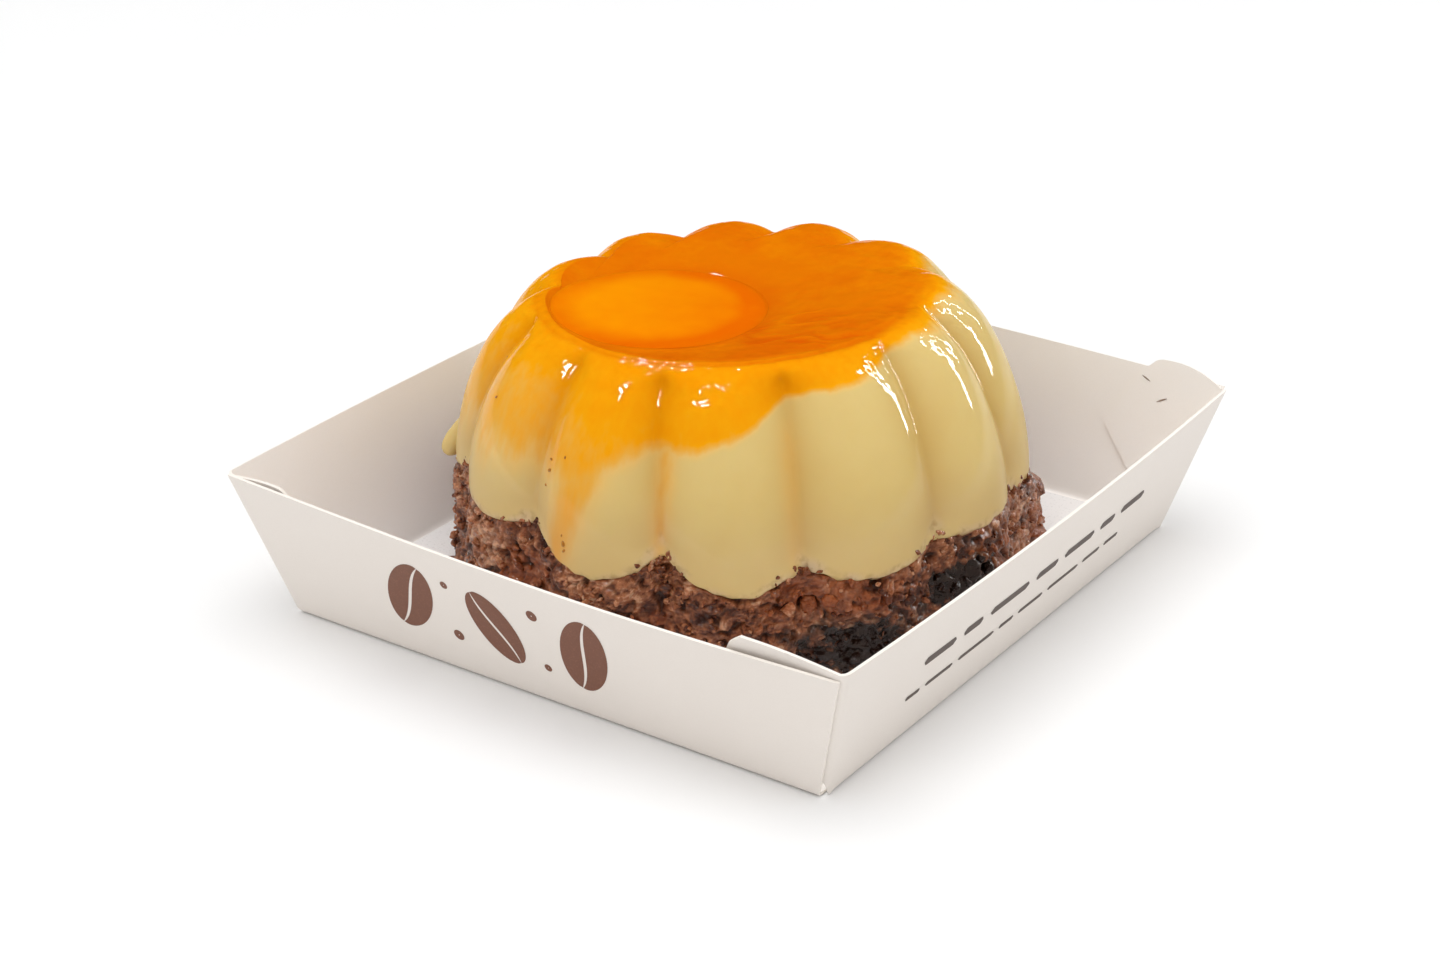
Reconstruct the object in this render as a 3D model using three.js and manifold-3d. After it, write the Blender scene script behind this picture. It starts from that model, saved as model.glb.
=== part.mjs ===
// Chocolate flan in a folded card tray: a fluted custard over a chocolate cake base,
// with a pool of caramel in its sunken crown, standing on an insert card in the tray.
//
// Millimetres, +Z up. The origin is the middle of the tray's underside. The tray is a little
// longer along Y. The ends of its -X and +X walls are flaps, tucked inside the -Y and +Y walls.
// Angles are in degrees, anticlockwise from +X seen from above.
import * as THREE from 'three';
import { mergeVertices } from 'three/addons/utils/BufferGeometryUtils.js';
import Module from 'manifold-3d';

const wasm = await Module();
wasm.setup();

// ---- Driving dimensions ----------------------------------------------------------------

const GAP = 0.3;                    // clearance left between pieces that touch

// Tray: one card blank, its four walls leaning outward
const CARD = 0.6;                   // card thickness
const TRAY_HEIGHT = 25.4;
const BASE_HALF = [51.7, 55.5];     // half length and width of the base, outside
const TOP_HALF = [59.0, 62.1];      // the same at the walls' top corners
const WALL_BOW = [1.4, 1.9];        // how far the top edge bows out at the middle of a wall
const CORNER_ROUND = 1.2;           // radius of the folded corners
const WALL_STEPS = 14;              // facets along a wall
const CORNER_STEPS = 3;             // facets round a corner
const LEAST_ROUND = 0.3;            // radius that a corner keeps on the inside

// Corner flaps: the ends of the +X and -X walls, tucked inside the other two. Each flap's
// reach is measured along the wall at its top edge; x and y say which corner it is in.
const FLAPS = [
  { x: 1, y: 1, reach: 13.4 },
  { x: 1, y: -1, reach: 16.6 },
  { x: -1, y: 1, reach: 13.4 },
  { x: -1, y: -1, reach: 10.4 },
];
const FLAP_RISE = 1.2;              // how far a flap's free corner stands above the wall
const FLAP_SLANT = 1.7;             // how much further it reaches just under that corner
const FLAP_POINT = { further: 4.3, z: 14.7 };
const FLAP_LOWER = { shorter: 3.7, z: 8.0 };
const FLAP_FOOT_Z = 3.0;
const FLAP_TOP_DIP = FLAP_RISE / 4; // its top edge starts this far below the wall's
const FLAP_DEPTHS = [CARD * 0.5, CARD * 1.8];   // its two faces, inward from the wall's outer face
const FLAP_SETBACK = CORNER_ROUND * 0.7;        // it starts this far from the tray's corner

// Insert card under the cake
const INSERT_HALF = [50.4, 53.0];
const INSERT_THICKNESS = 0.4;
const INSERT_CORNER = 2.5;

// Flan: twelve flutes, a little uneven, as it came from its mould
const FLAN_CENTRE = [-1.0, 0.8];    // middle of the custard's foot
const FLUTES = 12;
const FIRST_GROOVE = -41;
const GROOVE_DRIFT = [-3, -4, -4, -6, 2, 1, 1, 1, 2, -2, 0, 0];   // off an even spacing
const GROOVE_TWIST = [0, 3, 1, 9, 3, 2, 2, 2, 2, 0, -1, -5];      // from foot to crown

// Custard
const FOOT_RADIUS = 47.9;
const FOOT_Z = 20.0;
const CROWN_Z = 49.6;               // the ridge that runs round the top
const RIDGE_RADIUS = 31.5;
const RIDGE_SHIFT = [-1.5, 0.6];    // the crown sits off the foot's centre
const CROWN_TILT = [0.033, 0.03];   // the crown is higher towards +X and +Y
const SIDE_ROUND = 1.07;            // how fast the side draws in
const RISE_ROUND = 1.22;            // how fast it climbs
const FLUTE_DEPTH = [2.6, 4.2];     // groove depth at the foot and at the shoulder
const FLUTE_SHARPNESS = 0.8;        // below 1 the ribs are broad and the grooves narrow
const FLUTE_FADE = [0.68, 1.3];     // flutes die out over this stretch; 1 is the ridge
const FLUTE_CRISP = { angle: 125, by: 0.36 };   // they reach further over the ridge on this side
const CROWN_VALLEY = 1.2;           // and dip the ridge by up to this much there
const VALLEY_START = 0.6;           // share of the rise where that dip begins
const FOOT_ARCH = 4.0;              // the custard's lower edge is this much higher in a groove
const FOOT_SAG = [0.3, -1.8, -0.6, 0, 0, 0.4, -0.3, 0, -0.6, -1.6, 1.3, 1.3];   // and lower under a rib
const LIP_TUCK = 1.1;               // the foot's rounded lip turns in by this much
const LIP_DROP = 0.7;
const BED_FLAT = 0.6;               // the bed between custard and cake is flat to this share
const CROWN_DISH = 1.6;             // above 1 the ridge is rounded before it slopes to the pool

// Caramel pool in the crown
const POOL_CENTRE = [-11.6, -7.5];
const POOL_RADIUS = 17.3;
const POOL_LEVEL = 47.0;
const POOL_DEPTH = 4.5;
const POOL_WALL = 0.6;              // under 1 the pool's wall is steep
const POOL_SWELL = 0.3;             // the surface stands a little proud in the middle

// Drip of custard hanging at the foot
const DRIP_ANGLE = 210;
const DRIP_TOP = { radius: 45.6, z: 26.6 };
const DRIP_END = { radius: 50.0, z: 18.6 };
const DRIP_WIDTH = 3.6;
const DRIP_NECK = 0.58;             // below 1 the drop is fullest near its free end

// Cake base
const CAKE_TOP_RADIUS = 47.7;
const CAKE_FLARE = 0.07;            // growth in radius for each millimetre down
const CAKE_FLUTE_DEPTH = 2.4;
const CRUMB_RELIEF = 0.85;          // height of the crags
const CRUMB_SIZE = 3.4;             // their spacing
const CRAG = { angle: 32, z: 10, width: 6, height: 2.2 };   // one loose lump at the side
const CRUMB_SEED = 7;
const CALM_BAND = 0.2;              // share of the height over which crags die out under the custard
const TUCK_BAND = 0.17;             // share of the height that turns in under the custard's lip

// Facets: steps round each piece, and where its rings lie as shares of their stretch
const RING_STEPS = 96;              // a multiple of the flutes
const CAKE_STEPS = 192;             // a multiple of the ring steps, so that the bed fits
const POOL_STEPS = 48;              // likewise
const DRIP_STEPS = [12, 14];        // along and round
const SIDE_RINGS = [0, 0.09, 0.2, 0.32, 0.45, 0.58, 0.7, 0.8, 0.88, 0.94, 1];
const CROWN_RINGS = [0.12, 0.3, 0.53, 0.77, 1];
const POOL_RINGS = [0.97, 0.85, 0.6, 0.3];
const CARAMEL_RINGS = { under: [0.3, 0.6, 0.85, 0.95, 1], over: [1, 0.92, 0.7, 0.35] };
const BED_RINGS = [0.45, 0.75, 1 - LIP_TUCK / FOOT_RADIUS];
const CAKE_RINGS = [0, 0.08, 0.2, 0.33, 0.46, 0.59, 0.72, 0.84, 0.93, 1];

const FLOOR_Z = CARD;
const INSERT_Z = FLOOR_Z + GAP;
const CAKE_Z = INSERT_Z + INSERT_THICKNESS + GAP;

// ---- Small helpers -----------------------------------------------------------------------

const radians = THREE.MathUtils.degToRad;
const lerp = THREE.MathUtils.lerp;
const clamp = THREE.MathUtils.clamp;
const smooth = (x) => THREE.MathUtils.smoothstep(x, 0, 1);

// A closed solid from a stack of rings that have one point count and run anticlockwise.
// The first and last ring close on a point in the middle.
function stackSolid(firstPole, rings, lastPole) {
  const count = rings[0].length;
  const positions = [firstPole, ...rings.flat(), lastPole].flatMap((p) => [p.x, p.y, p.z]);
  const index = [];
  const at = (row, column) => 1 + row * count + (column % count);
  const last = rings.length - 1;
  const endPole = 1 + rings.length * count;
  for (let j = 0; j < count; j += 1) {
    index.push(0, at(0, j + 1), at(0, j));
    for (let i = 0; i < last; i += 1) {
      index.push(at(i, j), at(i, j + 1), at(i + 1, j + 1));
      index.push(at(i, j), at(i + 1, j + 1), at(i + 1, j));
    }
    index.push(at(last, j), at(last, j + 1), endPole);
  }
  const geometry = new THREE.BufferGeometry();
  geometry.setAttribute('position', new THREE.Float32BufferAttribute(positions, 3));
  geometry.setIndex(index);
  return geometry;
}

function toManifold(geometry) {
  const bare = geometry.clone();
  bare.deleteAttribute('normal');
  bare.deleteAttribute('uv');
  const merged = mergeVertices(bare, 1e-4);
  return new wasm.Manifold(new wasm.Mesh({
    numProp: 3,
    vertProperties: Float32Array.from(merged.attributes.position.array),
    triVerts: Uint32Array.from(merged.index.array),
  }));
}

function fromManifold(solid) {
  const mesh = solid.getMesh();
  const geometry = new THREE.BufferGeometry();
  geometry.setAttribute('position', new THREE.Float32BufferAttribute(mesh.vertProperties, 3));
  geometry.setIndex(Array.from(mesh.triVerts));
  return geometry;
}

// A repeatable value from 0 to 1 for each point of a whole-number grid
function gridValue(i, j, k) {
  let h = (i * 374761393 + j * 668265263 + k * 2147483647 + CRUMB_SEED * 1274126177) | 0;
  h = Math.imul(h ^ (h >>> 13), 1274126177);
  return ((h ^ (h >>> 16)) >>> 0) / 4294967295;
}

// Smooth bumps made from those values, from 0 to 1
function bumps(p, size) {
  const q = [p.x / size, p.y / size, p.z / size];
  const cell = q.map(Math.floor);
  const f = q.map((value, axis) => smooth(value - cell[axis]));
  let total = 0;
  for (let corner = 0; corner < 8; corner += 1) {
    const step = [corner & 1, (corner >> 1) & 1, corner >> 2];
    const weight = step.reduce((w, s, axis) => w * (s ? f[axis] : 1 - f[axis]), 1);
    total += weight * gridValue(...cell.map((value, axis) => value + step[axis]));
  }
  return total;
}

function addMesh(parent, name, geometry, finish) {
  geometry.computeVertexNormals();
  const mesh = new THREE.Mesh(geometry, new THREE.MeshStandardMaterial(finish));
  mesh.name = name;
  parent.add(mesh);
}

// ---- Flutes --------------------------------------------------------------------------------

// Groove angles, in radians, at a height share from 0 at the foot to 1 at the crown
function grooveAngles(share) {
  const pitch = 360 / FLUTES;
  return GROOVE_DRIFT.map((drift, i) => (
    radians(FIRST_GROOVE + i * pitch + drift + GROOVE_TWIST[i] * share)));
}

// The rib at an angle: its number, and its height from 0 in a groove to 1 between two grooves
function ribAt(angle, share) {
  const grooves = grooveAngles(share);
  const turn = 2 * Math.PI;
  const start = grooves[0];
  const a = start + ((((angle - start) % turn) + turn) % turn);
  let i = grooves.length - 1;
  while (grooves[i] > a) i -= 1;
  const next = i + 1 < grooves.length ? grooves[i + 1] : start + turn;
  return { number: i, height: Math.sin(Math.PI * (a - grooves[i]) / (next - grooves[i])) };
}

// How far the flutes are sunk at an angle, from 0 on a rib to 1 in a groove
function sunkAt(angle, share) {
  return 1 - ribAt(angle, share).height ** FLUTE_SHARPNESS;
}

// The height of the custard's lower edge, which arches up in the grooves
function footHeight(angle) {
  const { number, height } = ribAt(angle, 0);
  return FOOT_Z + FOOT_ARCH * (1 - height) - FOOT_SAG[number] * height;
}

// Angles round a ring, evenly spaced from groove to groove, so that each groove is an edge
function ringAngles(count, share) {
  const grooves = grooveAngles(share);
  const steps = count / FLUTES;
  return grooves.flatMap((from, i) => {
    const to = grooves[i + 1] ?? grooves[0] + 2 * Math.PI;
    return Array.from({ length: steps }, (_, j) => lerp(from, to, j / steps));
  });
}

// ---- Custard -------------------------------------------------------------------------------

// Share of the custard's height at a quarter, which runs from 0 at the foot to 1 on the ridge
function riseAt(quarter) {
  return Math.sin((quarter * Math.PI) / 2) ** RISE_ROUND;
}

// A point of the custard's outer side
function sidePoint(angle, quarter) {
  const rise = riseAt(quarter);
  const draw = Math.max(0, Math.cos((quarter * Math.PI) / 2)) ** SIDE_ROUND;
  const fadeEnd = FLUTE_FADE[1] + FLUTE_CRISP.by * Math.cos(angle - radians(FLUTE_CRISP.angle));
  const fade = 1 - smooth((quarter - FLUTE_FADE[0]) / (fadeEnd - FLUTE_FADE[0]));
  const depth = lerp(FLUTE_DEPTH[0], FLUTE_DEPTH[1], rise) * fade;
  const sunk = sunkAt(angle, rise);
  const radius = lerp(RIDGE_RADIUS, FOOT_RADIUS, draw) - depth * sunk;
  const x = FLAN_CENTRE[0] + RIDGE_SHIFT[0] * rise + radius * Math.cos(angle);
  const y = FLAN_CENTRE[1] + RIDGE_SHIFT[1] * rise + radius * Math.sin(angle);
  const tilt = (x * CROWN_TILT[0] + y * CROWN_TILT[1]) * rise;
  const side = (1 + Math.cos(angle - radians(FLUTE_CRISP.angle))) / 2;
  const valley = CROWN_VALLEY * side * sunk * smooth((rise - VALLEY_START) / (1 - VALLEY_START));
  const z = lerp(footHeight(angle), CROWN_Z, rise) + tilt - valley;
  return new THREE.Vector3(x, y, z);
}

// The rounded lip under the custard's foot, and the flat bed behind it
function bedPoint(angle, share) {
  const foot = sidePoint(angle, 0);
  const x = lerp(FLAN_CENTRE[0], foot.x, share);
  const y = lerp(FLAN_CENTRE[1], foot.y, share);
  const bed = FOOT_Z - LIP_DROP;
  const lift = smooth((share - BED_FLAT) / (1 - BED_FLAT));
  return new THREE.Vector3(x, y, lerp(bed, foot.z - LIP_DROP, lift));
}

// The pool's bed: the height of its floor at a distance from the pool's centre
function poolFloor(distance) {
  const inside = Math.max(0, 1 - (distance / POOL_RADIUS) ** 2);
  return POOL_LEVEL - POOL_DEPTH * inside ** POOL_WALL;
}

function poolPoint(angle, distance, z) {
  const x = POOL_CENTRE[0] + distance * Math.cos(angle);
  const y = POOL_CENTRE[1] + distance * Math.sin(angle);
  return new THREE.Vector3(x, y, z);
}

// Between the ridge and the pool: share 0 is on the ridge and 1 on the pool's edge
function crownPoint(angle, share) {
  const ridge = sidePoint(angle, 1);
  const shore = poolPoint(angle, POOL_RADIUS, POOL_LEVEL);
  const point = ridge.clone().lerp(shore, share);
  point.z = lerp(ridge.z, shore.z, share ** CROWN_DISH);
  return point;
}

function custardSolid() {
  const ring = (share, pointAt) => ringAngles(RING_STEPS, share).map(pointAt);
  const bed = BED_RINGS.map((share) => ring(0, (a) => bedPoint(a, share)));
  const side = SIDE_RINGS.map((quarter) => ring(riseAt(quarter), (a) => sidePoint(a, quarter)));
  const crown = CROWN_RINGS.map((share) => ring(1, (a) => crownPoint(a, share)));
  const pool = POOL_RINGS.map((share) => ring(1, (a) => {
    const distance = share * POOL_RADIUS;
    return poolPoint(a, distance, poolFloor(distance));
  }));
  const below = new THREE.Vector3(...FLAN_CENTRE, FOOT_Z - LIP_DROP);
  const middle = poolPoint(0, 0, poolFloor(0));
  return stackSolid(below, [...bed, ...side, ...crown, ...pool], middle);
}

// A drop on a thin neck: a turned profile leaning from the custard's side to its free end
function dripSolid() {
  const angle = radians(DRIP_ANGLE);
  const spot = ({ radius, z }) => new THREE.Vector3(
    FLAN_CENTRE[0] + radius * Math.cos(angle), FLAN_CENTRE[1] + radius * Math.sin(angle), z);
  const top = spot(DRIP_TOP);
  const end = spot(DRIP_END);
  const length = top.distanceTo(end);
  const [steps, round] = DRIP_STEPS;
  const profile = Array.from({ length: steps + 1 }, (_, i) => {
    const along = i / steps;
    const swell = Math.sqrt(Math.abs(Math.sin(Math.PI * along ** DRIP_NECK)));
    const closed = i === 0 || i === steps;
    return new THREE.Vector2(closed ? 0 : (swell * DRIP_WIDTH) / 2, along * length);
  });
  const lean = new THREE.Quaternion().setFromUnitVectors(
    new THREE.Vector3(0, 1, 0), top.clone().sub(end).normalize());
  return new THREE.LatheGeometry(profile, round).applyQuaternion(lean).translate(end.x, end.y, end.z);
}

// ---- Caramel -------------------------------------------------------------------------------

function caramelSolid() {
  const angles = ringAngles(POOL_STEPS, 1);
  const edge = POOL_RADIUS - GAP;
  const ring = (share, height) => angles.map((a) => {
    const distance = share * edge;
    return poolPoint(a, distance, height(distance));
  });
  const under = (distance) => poolFloor(distance) + GAP;
  const over = (distance) => POOL_LEVEL + POOL_SWELL * (1 - (distance / edge) ** 2);
  const floor = CARAMEL_RINGS.under.map((share) => ring(share, under));
  const surface = CARAMEL_RINGS.over.map((share) => ring(share, over));
  return stackSolid(poolPoint(0, 0, under(0)), [...floor, ...surface], poolPoint(0, 0, over(0)));
}

// ---- Cake ----------------------------------------------------------------------------------

// A point of the cake's craggy side; share runs from 0 at its underside to 1 at the custard
function cakeSidePoint(angle, share) {
  const z = lerp(CAKE_Z, footHeight(angle) - LIP_DROP - GAP, share);
  const mould = CAKE_TOP_RADIUS + CAKE_FLARE * (FOOT_Z - z) - CAKE_FLUTE_DEPTH * sunkAt(angle, 0);
  const spot = new THREE.Vector3(mould * Math.cos(angle), mould * Math.sin(angle), z);
  const away = Math.hypot((angle - radians(CRAG.angle)) * mould, z - CRAG.z) / CRAG.width;
  const crag = CRAG.height * Math.exp(-away * away);
  const coarse = bumps(spot, CRUMB_SIZE) - 0.5;
  const fine = bumps(spot, CRUMB_SIZE / 2) - 0.5;
  const calm = clamp((1 - share) / CALM_BAND, 0, 1);
  const tuck = (LIP_TUCK / 2) * clamp(1 - (1 - share) / TUCK_BAND, 0, 1);
  const radius = mould + (CRUMB_RELIEF * (coarse + fine / 2) + crag) * calm - tuck;
  return new THREE.Vector3(
    FLAN_CENTRE[0] + radius * Math.cos(angle), FLAN_CENTRE[1] + radius * Math.sin(angle), z);
}

function cakeSolid() {
  const angles = ringAngles(CAKE_STEPS, 0);
  const underside = angles.map((a) => {
    const rim = cakeSidePoint(a, 0);
    return new THREE.Vector3(...FLAN_CENTRE, CAKE_Z).lerp(rim, BED_RINGS[1]);
  });
  const side = CAKE_RINGS.map((share) => angles.map((a) => cakeSidePoint(a, share)));
  const bed = BED_RINGS.toReversed().map((share) => angles.map((a) => {
    const point = bedPoint(a, share);
    return point.setZ(point.z - GAP);
  }));
  const low = new THREE.Vector3(...FLAN_CENTRE, CAKE_Z);
  const high = new THREE.Vector3(...FLAN_CENTRE, FOOT_Z - LIP_DROP - GAP);
  return stackSolid(low, [underside, ...side, ...bed], high);
}

// ---- Tray and insert card ------------------------------------------------------------------

// The tray's outline at a height, moved inward by inset: bowed sides and rounded corners
function trayOutline(z, inset) {
  const share = z / TRAY_HEIGHT;
  const half = [0, 1].map((axis) => lerp(BASE_HALF[axis], TOP_HALF[axis], share) - inset);
  const bow = WALL_BOW.map((most) => most * clamp(share, 0, 1));
  const round = Math.max(CORNER_ROUND - inset, LEAST_ROUND);
  const points = [];
  for (let side = 0; side < 4; side += 1) {
    const along = side % 2 === 0 ? 1 : 0;              // walls +X, +Y, -X, -Y in turn
    const across = 1 - along;
    const run = half[along] - round;
    const place = (a, b) => {
      const turned = [[b, a], [-a, b], [-b, -a], [a, -b]][side];
      points.push(new THREE.Vector3(turned[0], turned[1], z));
    };
    for (let i = 0; i <= WALL_STEPS; i += 1) {
      const s = -1 + (2 * i) / WALL_STEPS;
      place(s * run, half[across] + bow[across] * (1 - s * s));
    }
    for (let i = 1; i < CORNER_STEPS; i += 1) {
      const turn = (i / CORNER_STEPS) * (Math.PI / 2);
      place(run + round * Math.sin(turn), half[across] - round + round * Math.cos(turn));
    }
  }
  return points;
}

function trayShell() {
  const flat = (z) => new THREE.Vector3(0, 0, z);
  const lean = (TOP_HALF[0] - BASE_HALF[0]) / TRAY_HEIGHT;
  const thick = CARD * Math.hypot(1, lean);
  const outside = [0, TRAY_HEIGHT / 2, TRAY_HEIGHT].map((z) => trayOutline(z, 0));
  const inside = [TRAY_HEIGHT, TRAY_HEIGHT / 2, FLOOR_Z].map((z) => trayOutline(z, thick));
  return stackSolid(flat(0), [...outside, ...inside], flat(FLOOR_Z));
}

// One corner flap as a plate against the inside of the +Y wall, at its +X end. It starts
// inside the wall's thickness, follows the wall's bow and stands above its top edge.
function flapSolid(reach) {
  const share = (z) => z / TRAY_HEIGHT;
  const corner = (z) => lerp(BASE_HALF[0], TOP_HALF[0], share(z)) - FLAP_SETBACK;
  const wall = (x, z) => {
    const along = x / corner(z);
    return lerp(BASE_HALF[1], TOP_HALF[1], share(z)) + WALL_BOW[1] * share(z) * (1 - along * along);
  };
  const outline = [
    [0, FLAP_FOOT_Z],
    [0, TRAY_HEIGHT - FLAP_TOP_DIP],
    [reach / 2, TRAY_HEIGHT + FLAP_RISE / 2],
    [reach, TRAY_HEIGHT + FLAP_RISE],
    [reach + FLAP_SLANT, TRAY_HEIGHT - FLAP_TOP_DIP],
    [reach + FLAP_POINT.further, FLAP_POINT.z],
    [reach - FLAP_LOWER.shorter, FLAP_LOWER.z],
  ];
  const face = (depth) => outline.map(([inward, z]) => {
    const x = corner(z) - inward;
    return new THREE.Vector3(x, wall(x, z) - depth, z);
  });
  const [near, far] = FLAP_DEPTHS.map(face);
  const middle = (ring) => ring.reduce((sum, p) => sum.add(p), new THREE.Vector3())
    .divideScalar(ring.length);
  return stackSolid(middle(near), [near, far], middle(far));
}

function traySolid() {
  let tray = toManifold(trayShell());
  for (const { x, y, reach } of FLAPS) {
    let flap = toManifold(flapSolid(reach));
    if (x < 0) flap = flap.mirror([1, 0, 0]);
    if (y < 0) flap = flap.mirror([0, 1, 0]);
    tray = tray.add(flap);
  }
  return fromManifold(tray);
}

function insertSolid() {
  const [x, y] = INSERT_HALF;
  const r = INSERT_CORNER;
  const outline = new THREE.Shape();
  outline.absarc(x - r, y - r, r, 0, Math.PI / 2);
  outline.absarc(r - x, y - r, r, Math.PI / 2, Math.PI);
  outline.absarc(r - x, r - y, r, Math.PI, 1.5 * Math.PI);
  outline.absarc(x - r, r - y, r, 1.5 * Math.PI, 2 * Math.PI);
  return new THREE.ExtrudeGeometry(outline, {
    depth: INSERT_THICKNESS, bevelEnabled: false, curveSegments: 4,
  }).translate(0, 0, INSERT_Z);
}

// ---- The object ----------------------------------------------------------------------------

const flan = new THREE.Group();
addMesh(flan, 'tray', traySolid(), { color: 0xe9e1d9, roughness: 0.55, metalness: 0 });
addMesh(flan, 'insert_card', insertSolid(), { color: 0xf0eff2, roughness: 0.25, metalness: 0 });
addMesh(flan, 'cake', cakeSolid(), { color: 0x5a3322, roughness: 0.6, metalness: 0 });
const custard = toManifold(custardSolid()).add(toManifold(dripSolid()));
addMesh(flan, 'custard', fromManifold(custard), { color: 0xe9d99a, roughness: 0.25, metalness: 0 });
addMesh(flan, 'caramel', caramelSolid(), { color: 0xf28a12, roughness: 0.08, metalness: 0 });

export default flan;
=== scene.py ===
"""A chocolate flan in a folded card tray: the finish of every piece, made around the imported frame.

The file is laid out as an add-on. Each piece has an operator, the sizes and colours that a user
would change are properties, and a panel in the 3D view's sidebar lists both. Run as a script, it
makes the whole flan and its studio once. Shapes are worked out in millimetres and turned into
metres as each mesh is made. Angles run anticlockwise from +X, seen from above.
"""

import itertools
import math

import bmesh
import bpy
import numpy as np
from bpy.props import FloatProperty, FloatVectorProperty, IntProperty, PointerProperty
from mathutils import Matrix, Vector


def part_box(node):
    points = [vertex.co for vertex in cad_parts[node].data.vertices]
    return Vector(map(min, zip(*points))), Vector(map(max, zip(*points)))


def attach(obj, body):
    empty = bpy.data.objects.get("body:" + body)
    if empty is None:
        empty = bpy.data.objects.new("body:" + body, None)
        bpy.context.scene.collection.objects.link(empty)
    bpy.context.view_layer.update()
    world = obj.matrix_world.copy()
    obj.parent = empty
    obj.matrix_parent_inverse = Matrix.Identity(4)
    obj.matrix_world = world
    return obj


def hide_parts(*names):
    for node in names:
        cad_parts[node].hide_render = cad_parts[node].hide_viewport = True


bl_info = {
    "name": "Chocolate flan in a card tray",
    "version": (1, 0, 0),
    "blender": (4, 5, 0),
    "location": "View3D > Sidebar > Flan",
    "description": "Makes a fluted chocolate flan with a caramel pool in its card tray",
    "category": "Add Mesh",
}

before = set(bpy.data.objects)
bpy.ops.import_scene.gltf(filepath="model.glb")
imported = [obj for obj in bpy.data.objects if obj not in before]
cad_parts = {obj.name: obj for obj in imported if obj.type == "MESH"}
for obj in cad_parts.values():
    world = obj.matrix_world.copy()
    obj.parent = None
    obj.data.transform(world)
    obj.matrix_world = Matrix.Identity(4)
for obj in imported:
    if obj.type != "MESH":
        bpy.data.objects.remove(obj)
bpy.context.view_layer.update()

MM = 0.001                            # metres in a millimetre


def cad_box(node):
    """The lowest and highest corner of a node of the frame, in millimetres."""
    return [np.array(corner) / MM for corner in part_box(node)]


# ---- Form, in millimetres: the solids' named sizes, repeated -----------------------------------

# Tray
BASE_HALF = (51.7, 55.5)              # half length and width of the base, outside
TOP_HALF = (59.0, 62.1)               # the same at the walls' top corners
TRAY_HEIGHT = 25.4
WALL_BOW = (1.4, 1.9)                 # how far the top edges bow out
CORNER_ROUND = 1.2
FLAP_REACH = {(1, 1): 13.4, (1, -1): 16.6, (-1, 1): 13.4, (-1, -1): 10.4}
FLAP_RISE = 1.2
FLAP_SLANT = 1.7
FLAP_POINT = (4.3, 14.7)              # further than the reach, height
FLAP_LOWER = (-3.7, 8.0)
FLAP_FOOT_Z = 3.0

# Flan
FLAN_CENTRE = np.array([-1.0, 0.8])
FIRST_GROOVE = -41.0
GROOVE_DRIFT = np.array([-3, -4, -4, -6, 2, 1, 1, 1, 2, -2, 0, 0])
GROOVE_TWIST = np.array([0, 3, 1, 9, 3, 2, 2, 2, 2, 0, -1, -5])
FLUTES = len(GROOVE_DRIFT)
FOOT_RADIUS = 47.9
FOOT_Z = 20.0
CROWN_Z = 49.6
RIDGE_RADIUS = 31.5
RIDGE_SHIFT = np.array([-1.5, 0.6])
CROWN_TILT = (0.033, 0.03)
SIDE_ROUND = 1.07
RISE_ROUND = 1.22
FLUTE_DEPTH = (2.6, 4.2)
FLUTE_SHARPNESS = 0.8
FLUTE_FADE = (0.68, 1.3)
FLUTE_CRISP = (math.radians(125), 0.36)
CROWN_VALLEY = 1.2
VALLEY_START = 0.6
FOOT_SAG = np.array([0.3, -1.8, -0.6, 0, 0, 0.4, -0.3, 0, -0.6, -1.6, 1.3, 1.3])
LIP_TUCK = 1.1
LIP_DROP = 0.7
BED_FLAT = 0.6
CROWN_DISH = 1.6
POOL_CENTRE = np.array([-11.6, -7.5])
POOL_RADIUS = 17.3
POOL_LEVEL = 47.0
POOL_DEPTH = 4.5
POOL_WALL = 0.6
POOL_SWELL = 0.3
DRIP_ANGLE = math.radians(210)
DRIP_TOP = (45.6, 26.6)               # radius, height
DRIP_END = (50.0, 18.6)
DRIP_WIDTH = 3.6
DRIP_NECK = 0.58
CAKE_TOP_RADIUS = 47.7
CAKE_FLARE = 0.07
CAKE_FLUTE_DEPTH = 2.4
CRAG = (math.radians(32), 10.0, 6.0, 2.2)     # angle, height, width, how far it stands out
TUCK_BAND = 0.17

# Where the pieces of the frame stand
CAKE_Z = float(cad_box("cake")[0][2])
INSERT_LOW, INSERT_HIGH = cad_box("insert_card")

# ---- Finish: sizes in millimetres, angles in degrees --------------------------------------------

# Where the dressed flutes depart a little from the solids; the tables give values at some angles
GROOVE_FILLET = 0.12                  # where a rib is lower than this, the groove's bottom is rounded
GROOVE_ENDS = {-175: 1, -159: 0.85, -133: 0.1, -118: 0.4, -101: 0.8, -80: 1}   # share left on the ridge
FOOT_ARCH = {-71: 4.0, -44: 2.0, -15: 2.3, 15: 1.0, 43: 2.5, 81: 4.0}   # rise of the foot in a groove
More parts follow.
